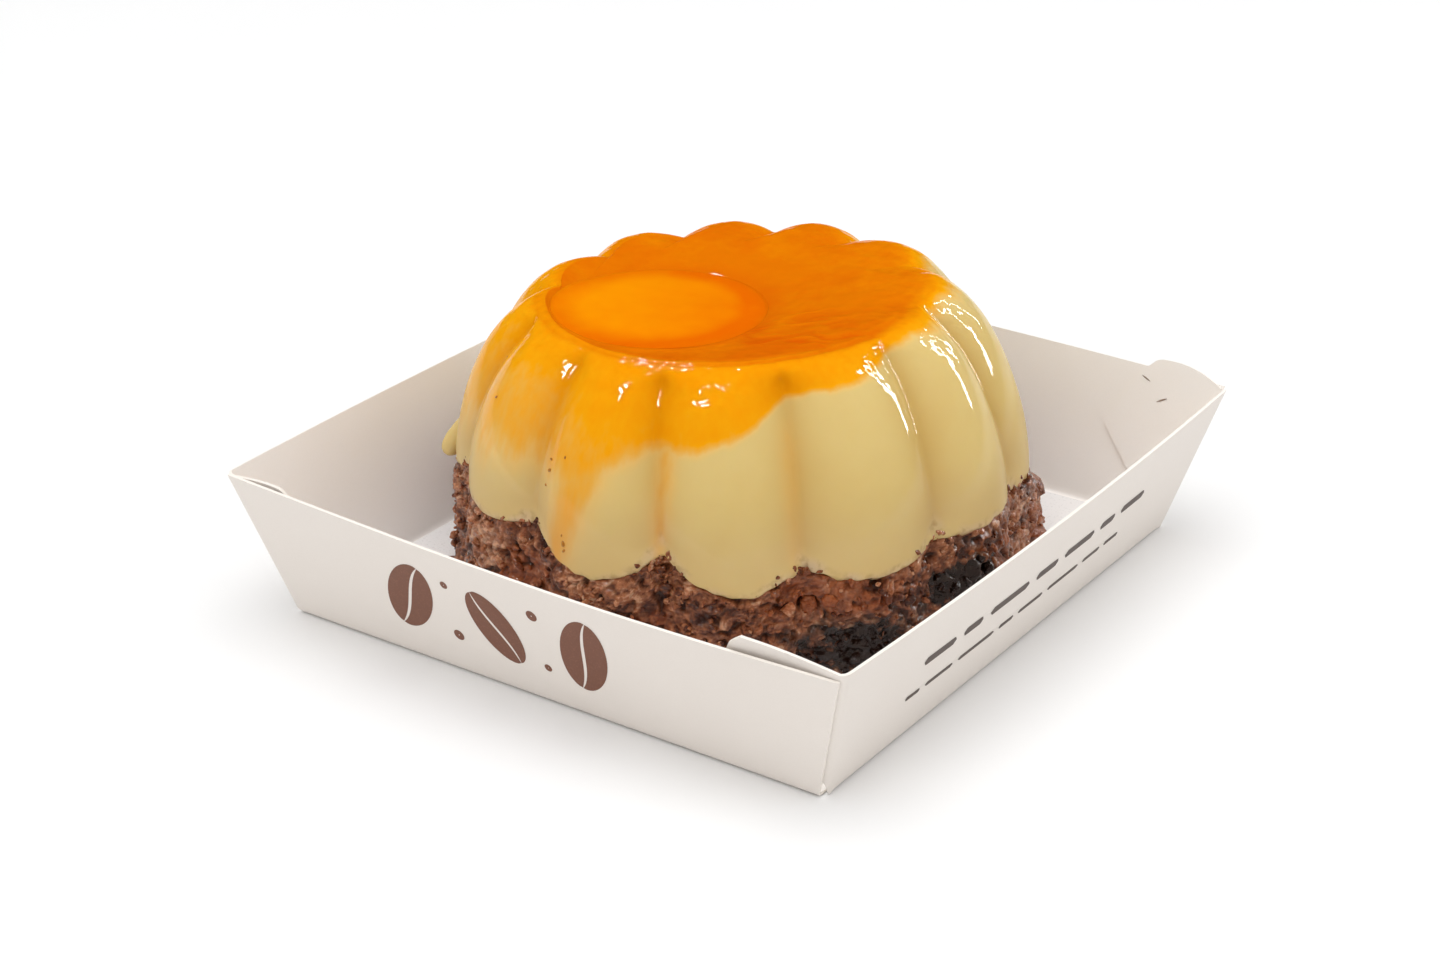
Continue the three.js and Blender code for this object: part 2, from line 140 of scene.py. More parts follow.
# The caramel stain round the custard: angle, height of its lower edge as a share of the way up the
# side, how soft that edge is, and how strong the stain is just above it
STAIN = {
    -155: (0.24, 0.22, 0.24), -140: (0.22, 0.20, 0.28), -126: (0.28, 0.17, 0.32), -112: (0.30, 0.15, 0.36),
    -104: (0.30, 0.12, 0.38), -97: (0.30, 0.12, 0.40), -90: (0.30, 0.12, 0.42), -84: (0.40, 0.08, 0.48),
    -75: (0.45, 0.06, 0.54), -70: (0.48, 0.05, 0.60), -60: (0.54, 0.035, 0.60), -50: (0.62, 0.03, 0.62),
    -45: (0.67, 0.03, 0.60), -38: (0.71, 0.03, 0.62), -28: (0.73, 0.035, 0.62), -15: (0.78, 0.045, 0.60),
    -3: (0.86, 0.06, 0.56), 5: (0.82, 0.08, 0.44), 11: (0.76, 0.1, 0.34), 16: (0.80, 0.1, 0.38),
    24: (0.86, 0.1, 0.46), 60: (0.79, 0.1, 0.58), 100: (0.74, 0.08, 0.60), 140: (0.62, 0.09, 0.56),
    175: (0.42, 0.14, 0.40), 190: (0.28, 0.2, 0.28),
}
# Runs of caramel: their angles at the foot, a quarter and half of the way up, their half widths in
# degrees at the foot and at half height, and their strength
RUNS = (
    ((-93.5, -91.0, -86.0), (3.0, 5.5), 0.4), ((-72.0, -71.5, -71.0), (1.6, 2.6), 0.24),
    ((-45.5, -45.5, -45.0), (1.4, 2.2), 0.12))
# A fine crease where the crown's film ends: angle, and the place from 0 foot, 1 ridge to 2 pool
CREASE_LINE = {-135: 0.93, -110: 0.945, -90: 0.95, -70: 0.97, -45: 1.0, -26: 1.03, 0: 1.06, 12: 1.08}
CREASE_ENDS = (-140, -118, 2, 20)     # fades in and out between these angles
WRINKLE_CENTRE = np.array([15.5, -6.5])
WRINKLE_HALF = (13.0, 11.0)           # half length and width of the wrinkled patch
WRINKLE_TURN = math.radians(25)       # direction in which the wrinkles run
WRINKLE_GRAIN = (7.0, 2.4)            # their length and spacing
# Patches on the cake: angle, half width in degrees, height, half height
WET_PATCHES = (
    (-34, 13, 7.5, 5.0), (-8, 11, 13.0, 4.0), (-62, 7, 5.0, 3.0), (95, 12, 7.0, 4.0), (168, 10, 9.0, 4.0))
RUST_PATCHES = (
    (-104, 8, 14.0, 6.0), (-40, 14, 17.0, 4.0), (2, 12, 14.0, 4.0), (-75, 6, 10.0, 3.5),
    (60, 12, 14.0, 5.0), (140, 10, 13.0, 5.0), (-150, 9, 12.0, 5.0), (32, 12, 9.0, 6.0))
PALE_PATCHES = ((32, 15, 11.0, 6.0), (14, 8, 9.0, 5.0), (-118, 8, 15.0, 5.0))


def srgb(red, green, blue):
    """A linear colour from screen values of 0 to 255."""
    def linear(value):
        share = value / 255
        return share / 12.92 if share <= 0.04045 else ((share + 0.055) / 1.055) ** 2.4
    return (linear(red), linear(green), linear(blue), 1.0)


def size_property(name, description, millimetres):
    return FloatProperty(
        name=name, description=description, default=millimetres * MM, min=0.0, precision=5,
        subtype="DISTANCE", unit="LENGTH")


def colour_property(name, description, screen):
    return FloatVectorProperty(
        name=name, description=description, default=srgb(*screen), size=4, min=0.0, max=1.0,
        subtype="COLOR")


class FlanTraySettings(bpy.types.PropertyGroup):
    """The folded card tray and the insert card."""

    card_thickness: size_property("Card", "Thickness of the tray's card", 0.45)
    flap_lean: size_property("Flap lean", "How far the loosest flap leans in from its wall", 0.5)
    card: colour_property("Card colour", "Printed face of the card", (235, 227, 219))
    # The plain inner face: the card's own pale back, pushed nearly to pure white as painted light on the
    # tray's inner walls.
    inside: colour_property("Inside colour", "Plain face of the card", (255, 251, 247))
    cut_edge: colour_property("Cut edge", "Raw edge of the card", (246, 239, 230))
    insert: colour_property("Insert card", "Glossy face of the insert card", (248, 247, 247))
    wall_print: colour_property("Wall print", "Ink of the beans on the front wall", (118, 72, 52))
    fine_print: colour_property("Fine print", "Ink of the dashes on the side wall", (72, 58, 50))


class FlanCakeSettings(bpy.types.PropertyGroup):
    """The chocolate cake base and its crumbs."""

    crumb_size: size_property("Crumb", "Spacing of the cake's crumbs", 2.3)
    crumb_depth: size_property("Crumb depth", "How deep the gaps between crumbs are", 0.75)
    loose_crumbs: IntProperty(
        name="Loose crumbs", description="How many crumbs cling to the side", default=1500, min=0, max=2400)
    crumb: colour_property("Crumb", "Moist chocolate crumb", (132, 74, 43))
    pale_crumb: colour_property("Pale crumb", "Crumb that light shines through", (214, 164, 130))
    rust: colour_property("Soaked crumb", "Crumb soaked with caramel", (158, 78, 34))
    wet: colour_property("Syrup", "Crumb soaked dark with syrup", (30, 11, 5))


class FlanCustardSettings(bpy.types.PropertyGroup):
    """The custard and its caramel."""

    ripple: size_property("Ripple", "Height of the glaze's slow ripples", 0.11)
    wrinkle: size_property("Wrinkle", "Height of the wrinkles beside the pool", 0.24)
    custard: colour_property("Custard", "Plain custard", (222, 195, 127))
    fringe: colour_property("Foot", "Custard mixed with crumb at its foot", (212, 186, 152))
    stain_thin: colour_property("Thin stain", "Custard lightly stained with caramel", (236, 176, 74))
    stain: colour_property("Stain", "Custard stained with caramel", (243, 164, 14))
    stain_deep: colour_property("Deep stain", "Custard under a film of caramel", (223, 115, 4))
    pool: colour_property("Pool", "Caramel where it is shallow", (249, 151, 4))
    pool_deep: colour_property("Deep pool", "Caramel where it is deep", (232, 103, 2))


class FlanStageSettings(bpy.types.PropertyGroup):
    """The floor, lights and camera."""

    floor: colour_property("Floor", "Pale studio floor", (246, 246, 246))
    sky: FloatProperty(name="Fill light", description="Strength of the even light", default=0.54, min=0.0)
    key: FloatProperty(
        name="Key light", description="Brightness of the large light's face", default=1.7, min=0.0)
    azimuth: FloatProperty(
        name="Azimuth", description="Camera's direction round the flan", default=math.radians(34.63),
        subtype="ANGLE", unit="ROTATION")
    elevation: FloatProperty(
        name="Elevation", description="Camera's height above the horizon", default=math.radians(25.09),
        subtype="ANGLE", unit="ROTATION")
    lens: FloatProperty(name="Lens", description="Focal length in millimetres", default=67.7, min=1.0)


SETTINGS = {
    "flan_tray": FlanTraySettings,
    "flan_cake": FlanCakeSettings,
    "flan_custard": FlanCustardSettings,
    "flan_stage": FlanStageSettings,
}

# ---- Numbers and noise ---------------------------------------------------------------------------


def lerp(a, b, share):
    return a + (b - a) * share


def smooth(x, low=0.0, high=1.0):
    """0 below low and 1 above high, with a soft climb between."""
    share = np.clip((x - low) / (high - low), 0.0, 1.0)
    return share * share * (3 - 2 * share)


def between(x, low, full, fading, high):
    """0 below low and above high, and 1 from full to fading."""
    return smooth(x, low, full) * (1 - smooth(x, fading, high))


def hump(x, half_width):
    """A soft hump of height 1 at x = 0."""
    return np.exp(-(x / half_width) ** 2)


def turn_gap(angle, towards):
    """The signed angle from one direction to another, the short way round."""
    return np.mod(angle - towards + math.pi, 2 * math.pi) - math.pi


def round_table(table, angle, column=None):
    """A value that is given at some angles in degrees, for any angle in radians."""
    degrees = sorted(table)
    values = [table[d] if column is None else table[d][column] for d in degrees]
    return np.interp(np.degrees(angle), degrees, values, period=360)


def lattice(cell, seed):
    """A repeatable value from 0 to 1 for each point of a whole-number grid."""
    i, j, k = np.moveaxis(cell, -1, 0)
    mixed = (i * 374761393 + j * 668265263 + k * 2147483647 + seed * 1274126177) & 0xFFFFFFFF
    mixed = ((mixed ^ (mixed >> 13)) * 1274126177) & 0xFFFFFFFF
    return (mixed ^ (mixed >> 16)) / 0xFFFFFFFF


def bumps(points, spacing, seed=0):
    """Smooth bumps from -1 to 1; spacing is one number, or one for each axis."""
    place = points / np.asarray(spacing, float)
    cell = np.floor(place).astype(np.int64)
    share = smooth(place - cell)
    total = np.zeros(place.shape[:-1])
    for corner in itertools.product((0, 1), repeat=3):
        weight = np.prod(np.where(corner, share, 1 - share), axis=-1)
        total += weight * lattice(cell + corner, seed)
    return 2 * total - 1


def layered_bumps(points, spacing, seed=0, layers=3):
    return sum(bumps(points, spacing / 2 ** k, seed + k) / 2 ** k for k in range(layers))


def grains(points, spacing, seed=0):
    """Packed grains: how near each point is to its grain's middle, to the seam with the next grain,
    and the grain's own value from 0 to 1."""
    place = points / spacing
    cell = np.floor(place).astype(np.int64)
    nearest = np.full(place.shape[:-1], 9.0)
    second = nearest.copy()
    own = np.zeros_like(nearest)
    for step in itertools.product((-1, 0, 1), repeat=3):
        near_cell = cell + step
        middle = near_cell + np.stack([lattice(near_cell, seed + k) for k in (1, 2, 3)], -1)
        away = np.linalg.norm(place - middle, axis=-1)
        closer = away < nearest
        second = np.where(closer, nearest, np.minimum(second, away))
        own = np.where(closer, lattice(near_cell, seed + 4), own)
        nearest = np.where(closer, away, nearest)
    return nearest, second - nearest, own


# ---- Meshes --------------------------------------------------------------------------------------


def grid_faces(numbers, wrap=False):
    """Four-cornered faces over a grid of point numbers; wrap joins its last column to the first."""
    if wrap:
        numbers = np.hstack([numbers, numbers[:, :1]])
    corners = (numbers[:-1, :-1], numbers[:-1, 1:], numbers[1:, 1:], numbers[1:, :-1])
    return np.stack(corners, -1).reshape(-1, 4).tolist()


def skin(rings, first, last):
    """A closed skin over anticlockwise rings, that ends on a point in the middle of each end ring."""
    rings = np.asarray(rings)
    numbers = 1 + np.arange(rings.shape[0] * rings.shape[1]).reshape(rings.shape[:2])
    end = int(numbers[-1, -1]) + 1
    points = np.vstack([[first], rings.reshape(-1, 3), [last]])
    faces = grid_faces(numbers, wrap=True)
    faces += [(0, b, a) for a, b in zip(numbers[0].tolist(), np.roll(numbers[0], -1).tolist())]
    faces += [(a, b, end) for a, b in zip(numbers[-1].tolist(), np.roll(numbers[-1], -1).tolist())]
    return points, faces


def normals_of(grid, wrap=False):
    """Unit normals of a grid of points; its columns may close on themselves."""
    down = np.gradient(grid, axis=0)
    if wrap:
        across = np.roll(grid, -1, axis=1) - np.roll(grid, 1, axis=1)
    else:
        across = np.gradient(grid, axis=1)
    normal = np.cross(across, down)
    return normal / np.maximum(np.linalg.norm(normal, axis=-1, keepdims=True), 1e-9)


def slab(grid, thickness):
    """A closed plate that lies behind a grid of points, and for each face its side: 0 the grid's, 1
    the back, 2 a cut edge."""
    rows, columns = grid.shape[:2]
    back = grid - normals_of(grid) * thickness
    near = np.arange(rows * columns).reshape(rows, columns)
    far = near + rows * columns
    faces = grid_faces(near) + grid_faces(far[:, ::-1])
    sides = [0] * (len(faces) // 2) + [1] * (len(faces) // 2)
    for line in (np.s_[0], np.s_[:, -1], np.s_[-1, ::-1], np.s_[::-1, 0]):
        faces += grid_faces(np.stack([far[line], near[line]]))
    sides += [2] * (len(faces) - len(sides))
    return np.vstack([grid.reshape(-1, 3), back.reshape(-1, 3)]), faces, np.array(sides)


def join(parts):
    """Several (points, faces, values for each face) as one."""
    points, faces, values = [], [], []
    start = 0
    for part_points, part_faces, part_values in parts:
        points.append(part_points)
        faces += [tuple(number + start for number in face) for face in part_faces]
        values.append(part_values)
        start += len(part_points)
    return np.vstack(points), faces, np.concatenate(values)


def add_piece(name, points, faces, material, replaces=(), crease_angle=None):
    """Makes a piece from millimetres, riding on the one body of the frame."""
    mesh = bpy.data.meshes.new(name)
    mesh.from_pydata((np.asarray(points) * MM).tolist(), [], faces)
    mesh.materials.append(material)
    mesh.shade_smooth()
    if crease_angle is not None:
        mesh.set_sharp_from_angle(angle=math.radians(crease_angle))
    piece = bpy.data.objects.new(name, mesh)
    bpy.context.scene.collection.objects.link(piece)
    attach(piece, "root")
    if replaces:
        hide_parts(*replaces)
    return piece


def add_values(piece, domain="POINT", **values):
    """Stores numbers on a piece's points or faces for its material to read."""
    for name, numbers in values.items():
        attribute = piece.data.attributes.new(name, "FLOAT", domain)
        attribute.data.foreach_set("value", np.asarray(numbers, np.float32).ravel())


# ---- Materials -----------------------------------------------------------------------------------


class Finish:
    """A material with one Principled shader, and short calls for the nodes that feed it."""

    def __init__(self, name, **constants):
        self.material = bpy.data.materials.new(name)
        self.material.use_nodes = True
        self.tree = self.material.node_tree
        self.shader = self.tree.nodes["Principled BSDF"]
        for socket, value in constants.items():
            self.shader.inputs[socket.replace("_", " ")].default_value = value
        self.place = self.node("ShaderNodeTexCoord").outputs["Object"]

    def node(self, kind, inputs=(), **settings):
        made = self.tree.nodes.new(kind)
        for name, value in settings.items():
            setattr(made, name, value)
        for socket, value in dict(inputs).items():
            if isinstance(value, bpy.types.NodeSocket):
                self.tree.links.new(value, made.inputs[socket])
            else:
                made.inputs[socket].default_value = value
        return made

    def value(self, name):
        """A number stored on the mesh."""
        return self.node("ShaderNodeAttribute", attribute_name=name).outputs["Fac"]

    def noise(self, spacing, detail=2.0, stretch=(1.0, 1.0, 1.0)):
        """Noise from 0 to 1 with features of this many millimetres, longer along a stretched axis."""
        scale = tuple(1 / (spacing * MM * s) for s in stretch)
        place = self.node("ShaderNodeMapping", {"Vector": self.place, "Scale": scale}).outputs["Vector"]
        return self.node(
            "ShaderNodeTexNoise", {"Vector": place, "Scale": 1.0, "Detail": detail}).outputs["Fac"]

    def math(self, operation, a, b=0.0, c=0.0):
        return self.node("ShaderNodeMath", {0: a, 1: b, 2: c}, operation=operation).outputs[0]

    def range(self, value, low, high, to_low=0.0, to_high=1.0):
        inputs = {"Value": value, "From Min": low, "From Max": high, "To Min": to_low, "To Max": to_high}
        return self.node("ShaderNodeMapRange", inputs).outputs["Result"]

    def stirred(self, value, noise, low, high, down, up):
        """A value made uneven: noise from low to high adds from down to up."""
        return self.math("ADD", value, self.range(noise, low, high, down, up))

    def blend(self, factor, a, b, kind="MIX"):
        mixer = self.node("ShaderNodeMix", data_type="RGBA", blend_type=kind)
        for number, value in ((0, factor), (6, a), (7, b)):
            if isinstance(value, bpy.types.NodeSocket):
                self.tree.links.new(value, mixer.inputs[number])
            else:
                mixer.inputs[number].default_value = value
        return mixer.outputs[2]

    def ramp(self, factor, stops):
        """A colour for a value; stops are (value, colour) pairs."""
        node = self.node("ShaderNodeValToRGB", {"Fac": factor})
        elements = node.color_ramp.elements
        while len(elements) < len(stops):
            elements.new(0.5)
        for element, (position, colour) in zip(elements, stops):
            element.position = position
            element.color = colour
        return node.outputs["Color"]

    def colour(self, socket):
        self.tree.links.new(socket, self.shader.inputs["Base Color"])

    def roughness(self, socket):
        self.tree.links.new(socket, self.shader.inputs["Roughness"])

    def relief(self, *layers):
        """Bump from (height socket, millimetres) pairs, one over the other."""
        normal = None
        for height, depth in layers:
            inputs = {"Height": height, "Distance": depth * MM, "Strength": 1.0}
            if normal is not None:
                inputs["Normal"] = normal
            normal = self.node("ShaderNodeBump", inputs).outputs["Normal"]
        self.tree.links.new(normal, self.shader.inputs["Normal"])
        self.normal = normal


def card_finish(settings):
    """Coated card: a satin face with faint fibres, a raw pale edge, a little dust in the grain."""
    finish = Finish("tray_card", Specular_IOR_Level=0.4)
    fibres = finish.noise(0.25, 3.0)
    cloud = finish.noise(14.0, 2.0)
    # Inner faces take the plain face's near-white colour: partly the card's own back, partly painted light
    # on the inner walls.
    plain = finish.blend(finish.value("inside"), tuple(settings.card), tuple(settings.inside))
    face = finish.blend(finish.range(cloud, 0.3, 0.7, 0.0, 0.05), plain, srgb(214, 198, 184))
    face = finish.blend(finish.range(fibres, 0.45, 0.75, 0.0, 0.05), face, srgb(205, 192, 180))
    finish.colour(finish.blend(finish.value("cut"), face, tuple(settings.cut_edge)))
    finish.roughness(finish.range(fibres, 0.2, 0.8, 0.42, 0.6))
    finish.relief((cloud, 0.05), (fibres, 0.006))
    return finish.material


def insert_finish(settings):
    """Glossy white card."""
    finish = Finish("insert_card", Specular_IOR_Level=0.5, Coat_Weight=1.0, Coat_Roughness=0.06)
    cloud = finish.noise(9.0, 2.0)
    finish.colour(finish.blend(
        finish.range(cloud, 0.3, 0.7, 0.0, 0.08), tuple(settings.insert), srgb(222, 216, 214)))
    finish.roughness(finish.range(finish.noise(0.4, 2.0), 0.2, 0.8, 0.24, 0.36))
    finish.relief((cloud, 0.04))
    return finish.material


def ink_finish(name, colour):
    """Flat ink that lets a little of the card's grain through."""
    finish = Finish(name, Specular_IOR_Level=0.35)
    grain = finish.noise(0.3, 3.0)
    finish.colour(finish.blend(
        finish.range(grain, 0.5, 0.8, 0.0, 0.35), tuple(colour), srgb(168, 122, 98)))
    finish.roughness(finish.range(grain, 0.2, 0.8, 0.38, 0.55))
    return finish.material


def crumb_finish(name, settings, grain):
    """Moist chocolate crumb: every crumb its own tone, paler on raised shreds as painted highlight and
    darker in its hollows as painted shade, rusty where caramel has soaked in, black and glossy where syrup
    has."""
    finish = Finish(
        name, Specular_IOR_Level=0.12, Coat_Weight=0.85, Coat_Roughness=0.05, Coat_IOR=1.45,
        Subsurface_Weight=0.2, Subsurface_Scale=0.001)
    finish.shader.inputs["Subsurface Radius"].default_value = (1.0, 0.4, 0.2)
    dark, light, shadow = srgb(70, 28, 11), srgb(174, 111, 75), srgb(54, 20, 7)
    fine = finish.noise(grain, 4.0)
    fibre = finish.noise(grain * 2.2, 3.0, stretch=(1.0, 1.0, 0.35))
    tone = finish.stirred(finish.value("tone"), fine, 0.3, 0.7, -0.2, 0.2)
    tone = finish.stirred(tone, fibre, 0.35, 0.65, -0.14, 0.14)
    tone = finish.stirred(tone, finish.noise(5.0, 2.0), 0.35, 0.65, -0.24, 0.2)
    crumb = finish.ramp(tone, (
        (0.0, dark), (0.32, tuple(settings.crumb)), (0.66, light), (0.95, tuple(settings.pale_crumb))))
    rust = finish.stirred(finish.value("rust"), finish.noise(3.5), 0.3, 0.7, -0.3, 0.3)
    rust = finish.math("MULTIPLY", finish.range(rust, 0.3, 0.8), 0.5)
    crumb = finish.blend(rust, crumb, tuple(settings.rust))
    # Painted shade: the crumb darkens towards shadow in its pits and in the seams between crumbs.
    crumb = finish.blend(finish.value("hollow"), crumb, shadow)
    wet = finish.stirred(finish.value("wet"), finish.noise(2.2), 0.3, 0.7, -0.3, 0.3)
    wet = finish.range(wet, 0.25, 0.7)
    finish.colour(finish.blend(wet, crumb, tuple(settings.wet)))
    dry = finish.range(fine, 0.3, 0.7, 0.4, 0.7)
    finish.roughness(finish.math("MULTIPLY", dry, finish.range(wet, 0.0, 1.0, 1.0, 0.3)))
    finish.relief((fine, 0.22), (fibre, 0.2))
    finish.tree.links.new(finish.normal, finish.shader.inputs["Coat Normal"])
    return finish.material


def custard_finish(settings):
    """Set custard that light sinks into, stained from above by caramel and wet all over."""
    finish = Finish(
        "custard", Specular_IOR_Level=0.0, Coat_Weight=0.5, Coat_Roughness=0.02, Coat_IOR=1.45,
        Subsurface_Weight=0.2, Subsurface_Scale=0.0022)
    finish.shader.inputs["Subsurface Radius"].default_value = (1.0, 0.6, 0.25)
    honey, amber, burnt = srgb(232, 194, 118), srgb(241, 150, 6), srgb(216, 92, 4)
    cloud_tint, groove_shade, crumb_tint = srgb(224, 192, 120), srgb(222, 200, 164), srgb(134, 88, 60)
    streaks = finish.noise(1.6, 3.0, stretch=(1.0, 1.0, 10.0))
    cloud = finish.noise(7.0, 3.0)
    amount = finish.value("stain")
    thin = finish.range(amount, 0.0, 0.2, 0.0, 1.0)
    shaded = finish.range(amount, 0.7, 0.95, 1.0, 0.35)
    uneven = finish.math("MULTIPLY", finish.range(streaks, 0.3, 0.7, -0.06, 0.06), thin)
    stain = finish.math("ADD", amount, finish.math("MULTIPLY", uneven, shaded))
    colour = finish.ramp(stain, (
        (0.0, tuple(settings.custard)), (0.14, honey), (0.34, tuple(settings.stain_thin)),
        (0.54, tuple(settings.stain)), (0.76, amber), (1.0, tuple(settings.stain_deep))))
    colour = finish.blend(finish.range(cloud, 0.35, 0.7, 0.0, 0.09), colour, cloud_tint, kind="MULTIPLY")
    # Painted shade: the custard is darkened and warmed in its grooves.
    colour = finish.blend(finish.value("groove"), colour, groove_shade, kind="MULTIPLY")
    fringe = finish.value("fringe")
    crumbs = finish.range(finish.noise(1.3, 4.0), 0.46, 0.68, 0.0, 0.7)
    crumbs = finish.math("MULTIPLY", crumbs, finish.range(fringe, 0.2, 0.4))
    colour = finish.blend(fringe, colour, finish.blend(crumbs, tuple(settings.fringe), crumb_tint))
    # Burnt orange where the film is marked, much of it painted shade in the folds and crease.
    finish.colour(finish.blend(finish.value("ember"), colour, burnt))
    finish.roughness(finish.range(finish.noise(2.5), 0.3, 0.7, 0.3, 0.45))
    squiggle = finish.math("MULTIPLY", finish.noise(2.0, 0.5), finish.value("glaze"))
    finish.relief((finish.noise(5.0, 1.0, stretch=(1.0, 1.0, 2.0)), 0.08), (squiggle, 0.3))
    finish.tree.links.new(finish.normal, finish.shader.inputs["Coat Normal"])
    return finish.material


def caramel_finish(settings):
    """Clear caramel, deeper in colour where it is thick."""
    finish = Finish(
        "caramel", Roughness=0.3, Specular_IOR_Level=0.0, Coat_Weight=0.6, Coat_Roughness=0.02,
        Coat_IOR=1.45, Subsurface_Weight=0.2, Subsurface_Scale=0.0025)
    finish.shader.inputs["Subsurface Radius"].default_value = (1.0, 0.45, 0.1)
    cloud = finish.range(finish.noise(6.0), 0.3, 0.7, -0.1, 0.1)
    depth = finish.math("ADD", finish.value("depth"), cloud)
    finish.colour(finish.ramp(depth, ((0.0, tuple(settings.pool)), (1.0, tuple(settings.pool_deep)))))
    finish.relief((finish.noise(9.0, 1.0), 0.05))
    return finish.material


# ---- Tray ----------------------------------------------------------------------------------------

FOLD_ROUND = 0.7                      # radius of the folds between base and walls
PANEL_STOP = 0.9                      # the front and back walls end this far short of the corner
CARD_GAP = 0.1                        # between a flap and the wall that it is tucked behind
# The flaps, by the signs of x and y at their corner
FLAP_LEAN = {(1, 1): 0.5, (1, -1): 1.0, (-1, 1): 1.0, (-1, -1): 0.4}     # share of the lean
FLAP_BELLY = {(1, 1): 0.2, (1, -1): 0.55, (-1, 1): 0.3, (-1, -1): 0.5}   # how far the middle leans in
FLAP_BULGE = {(1, 1): 1.0, (1, -1): 0.0, (-1, 1): 1.0, (-1, -1): 0.0}    # 1 a round top, 0 a straight one
FLAP_CLIMB = {(1, 1): 1.7, (1, -1): 1.25, (-1, 1): 1.0, (-1, -1): 0.7}   # how high it rises, as a share
FLAP_CURL = 1.4                       # the lean grows with this power of the way along a flap
FLAP_HELD = 0.35                      # share of the lean that is left at the floor
FLAP_ARC = (0.7, 0.9)                 # part of a half turn that a round top follows, and its power
FLAP_SWELL = (1.1, 0.15)              # height of that arc, and of a slope added to it
FLAP_ROUND = (0.07, 0.15)             # last part of the top that is rounded off, and how far
FLAP_CROWD = 1.6                      # columns crowd towards the free end with this power
FRONT_DIP = 1.5                       # the front wall's rim sags this much towards the front corner
FRONT_DIP_RUN = (-0.95, 0.45)         # where along the wall it starts and is full
WALL_HEIGHTS = np.concatenate([[0.0, 0.08, 0.25, 0.7], np.linspace(1.6, TRAY_HEIGHT, 22)])
ROLL_STEPS = 7
FLAP_STEPS = 16
WALL_COLUMNS = 60
SLITS = ((43.6, 23.8, 1.9, 158), (47.3, 20.85, 2.1, 28))   # x, height, length, turn of the lock slits
SLIT_PROUD = 0.06
SLIT_HALF = 0.13                      # half their width
SLIT_DEPTH = 0.02


def wall_half(axis, z):
    """Half the tray's size at a height, at the corners."""
    return lerp(BASE_HALF[axis], TOP_HALF[axis], z / TRAY_HEIGHT)


def wall_face(axis, along, z):
    """How far out a wall's outer face lies; along runs from -1 to 1 between the corners."""
    fold = np.clip(FOLD_ROUND - z, 0, FOLD_ROUND)
    tuck = FOLD_ROUND - np.sqrt(FOLD_ROUND ** 2 - fold ** 2)
    return wall_half(axis, z) + WALL_BOW[axis] * (z / TRAY_HEIGHT) * (1 - along ** 2) - tuck


def channel_sheet(card):
    """The base and the front and back walls, which are one strip folded twice."""
    base_run = BASE_HALF[1] - FOLD_ROUND
    along = np.linspace(-1, 1, WALL_COLUMNS + 1)[:, None]

    def end_wall(end, dip):
        z = WALL_HEIGHTS[::-1] * (1 - dip / TRAY_HEIGHT)
        x = along * (wall_half(0, z) - PANEL_STOP)
        return np.stack([x, end * wall_face(1, along, z), z], -1)

    front = end_wall(-1, FRONT_DIP * smooth(along, *FRONT_DIP_RUN))
    base_y = np.full((WALL_COLUMNS + 1, 1), 1.0) * np.linspace(-base_run, base_run, 20)[1:-1]
    base_x = along * np.full_like(base_y, BASE_HALF[0] - FOLD_ROUND)
    base = np.stack([base_x, base_y, np.zeros_like(base_y)], -1)
    back = end_wall(1, np.zeros_like(along))[:, ::-1]
    return slab(np.concatenate([front, base, back], axis=1), card)


def flap_edge(reach, z):
    """How far in a flap's free edge lies at a height."""
    heights = (FLAP_LOWER[1], FLAP_POINT[1], TRAY_HEIGHT - FLAP_RISE / 4, TRAY_HEIGHT + FLAP_RISE)
    inward = (reach + FLAP_LOWER[0], reach + FLAP_POINT[0], reach + FLAP_SLANT, reach)
    return np.interp(z, heights, inward)


def flap_depth(lean, corner, w, z):
    """How far a flap's outer face lies inside its wall's; w runs from 0 at the fold to 1."""
    belly = math.sin(math.pi * w) * FLAP_BELLY[corner]
    return (lean * FLAP_LEAN[corner] * w ** FLAP_CURL + belly) * lerp(FLAP_HELD, 1, z / TRAY_HEIGHT)


def flap_climb(corner, w):
    """How far a flap's top has climbed, as a share of the rise: a straight slope or a round back."""
    arc = math.sin(FLAP_ARC[0] * math.pi * w ** FLAP_ARC[1])
    rounded = FLAP_ROUND[1] * max(0.0, 1 - (1 - w) / FLAP_ROUND[0]) ** 2
    round_back = FLAP_SWELL[0] * arc + FLAP_SWELL[1] * w - rounded
    return FLAP_CLIMB[corner] * lerp(w, round_back, FLAP_BULGE[corner])


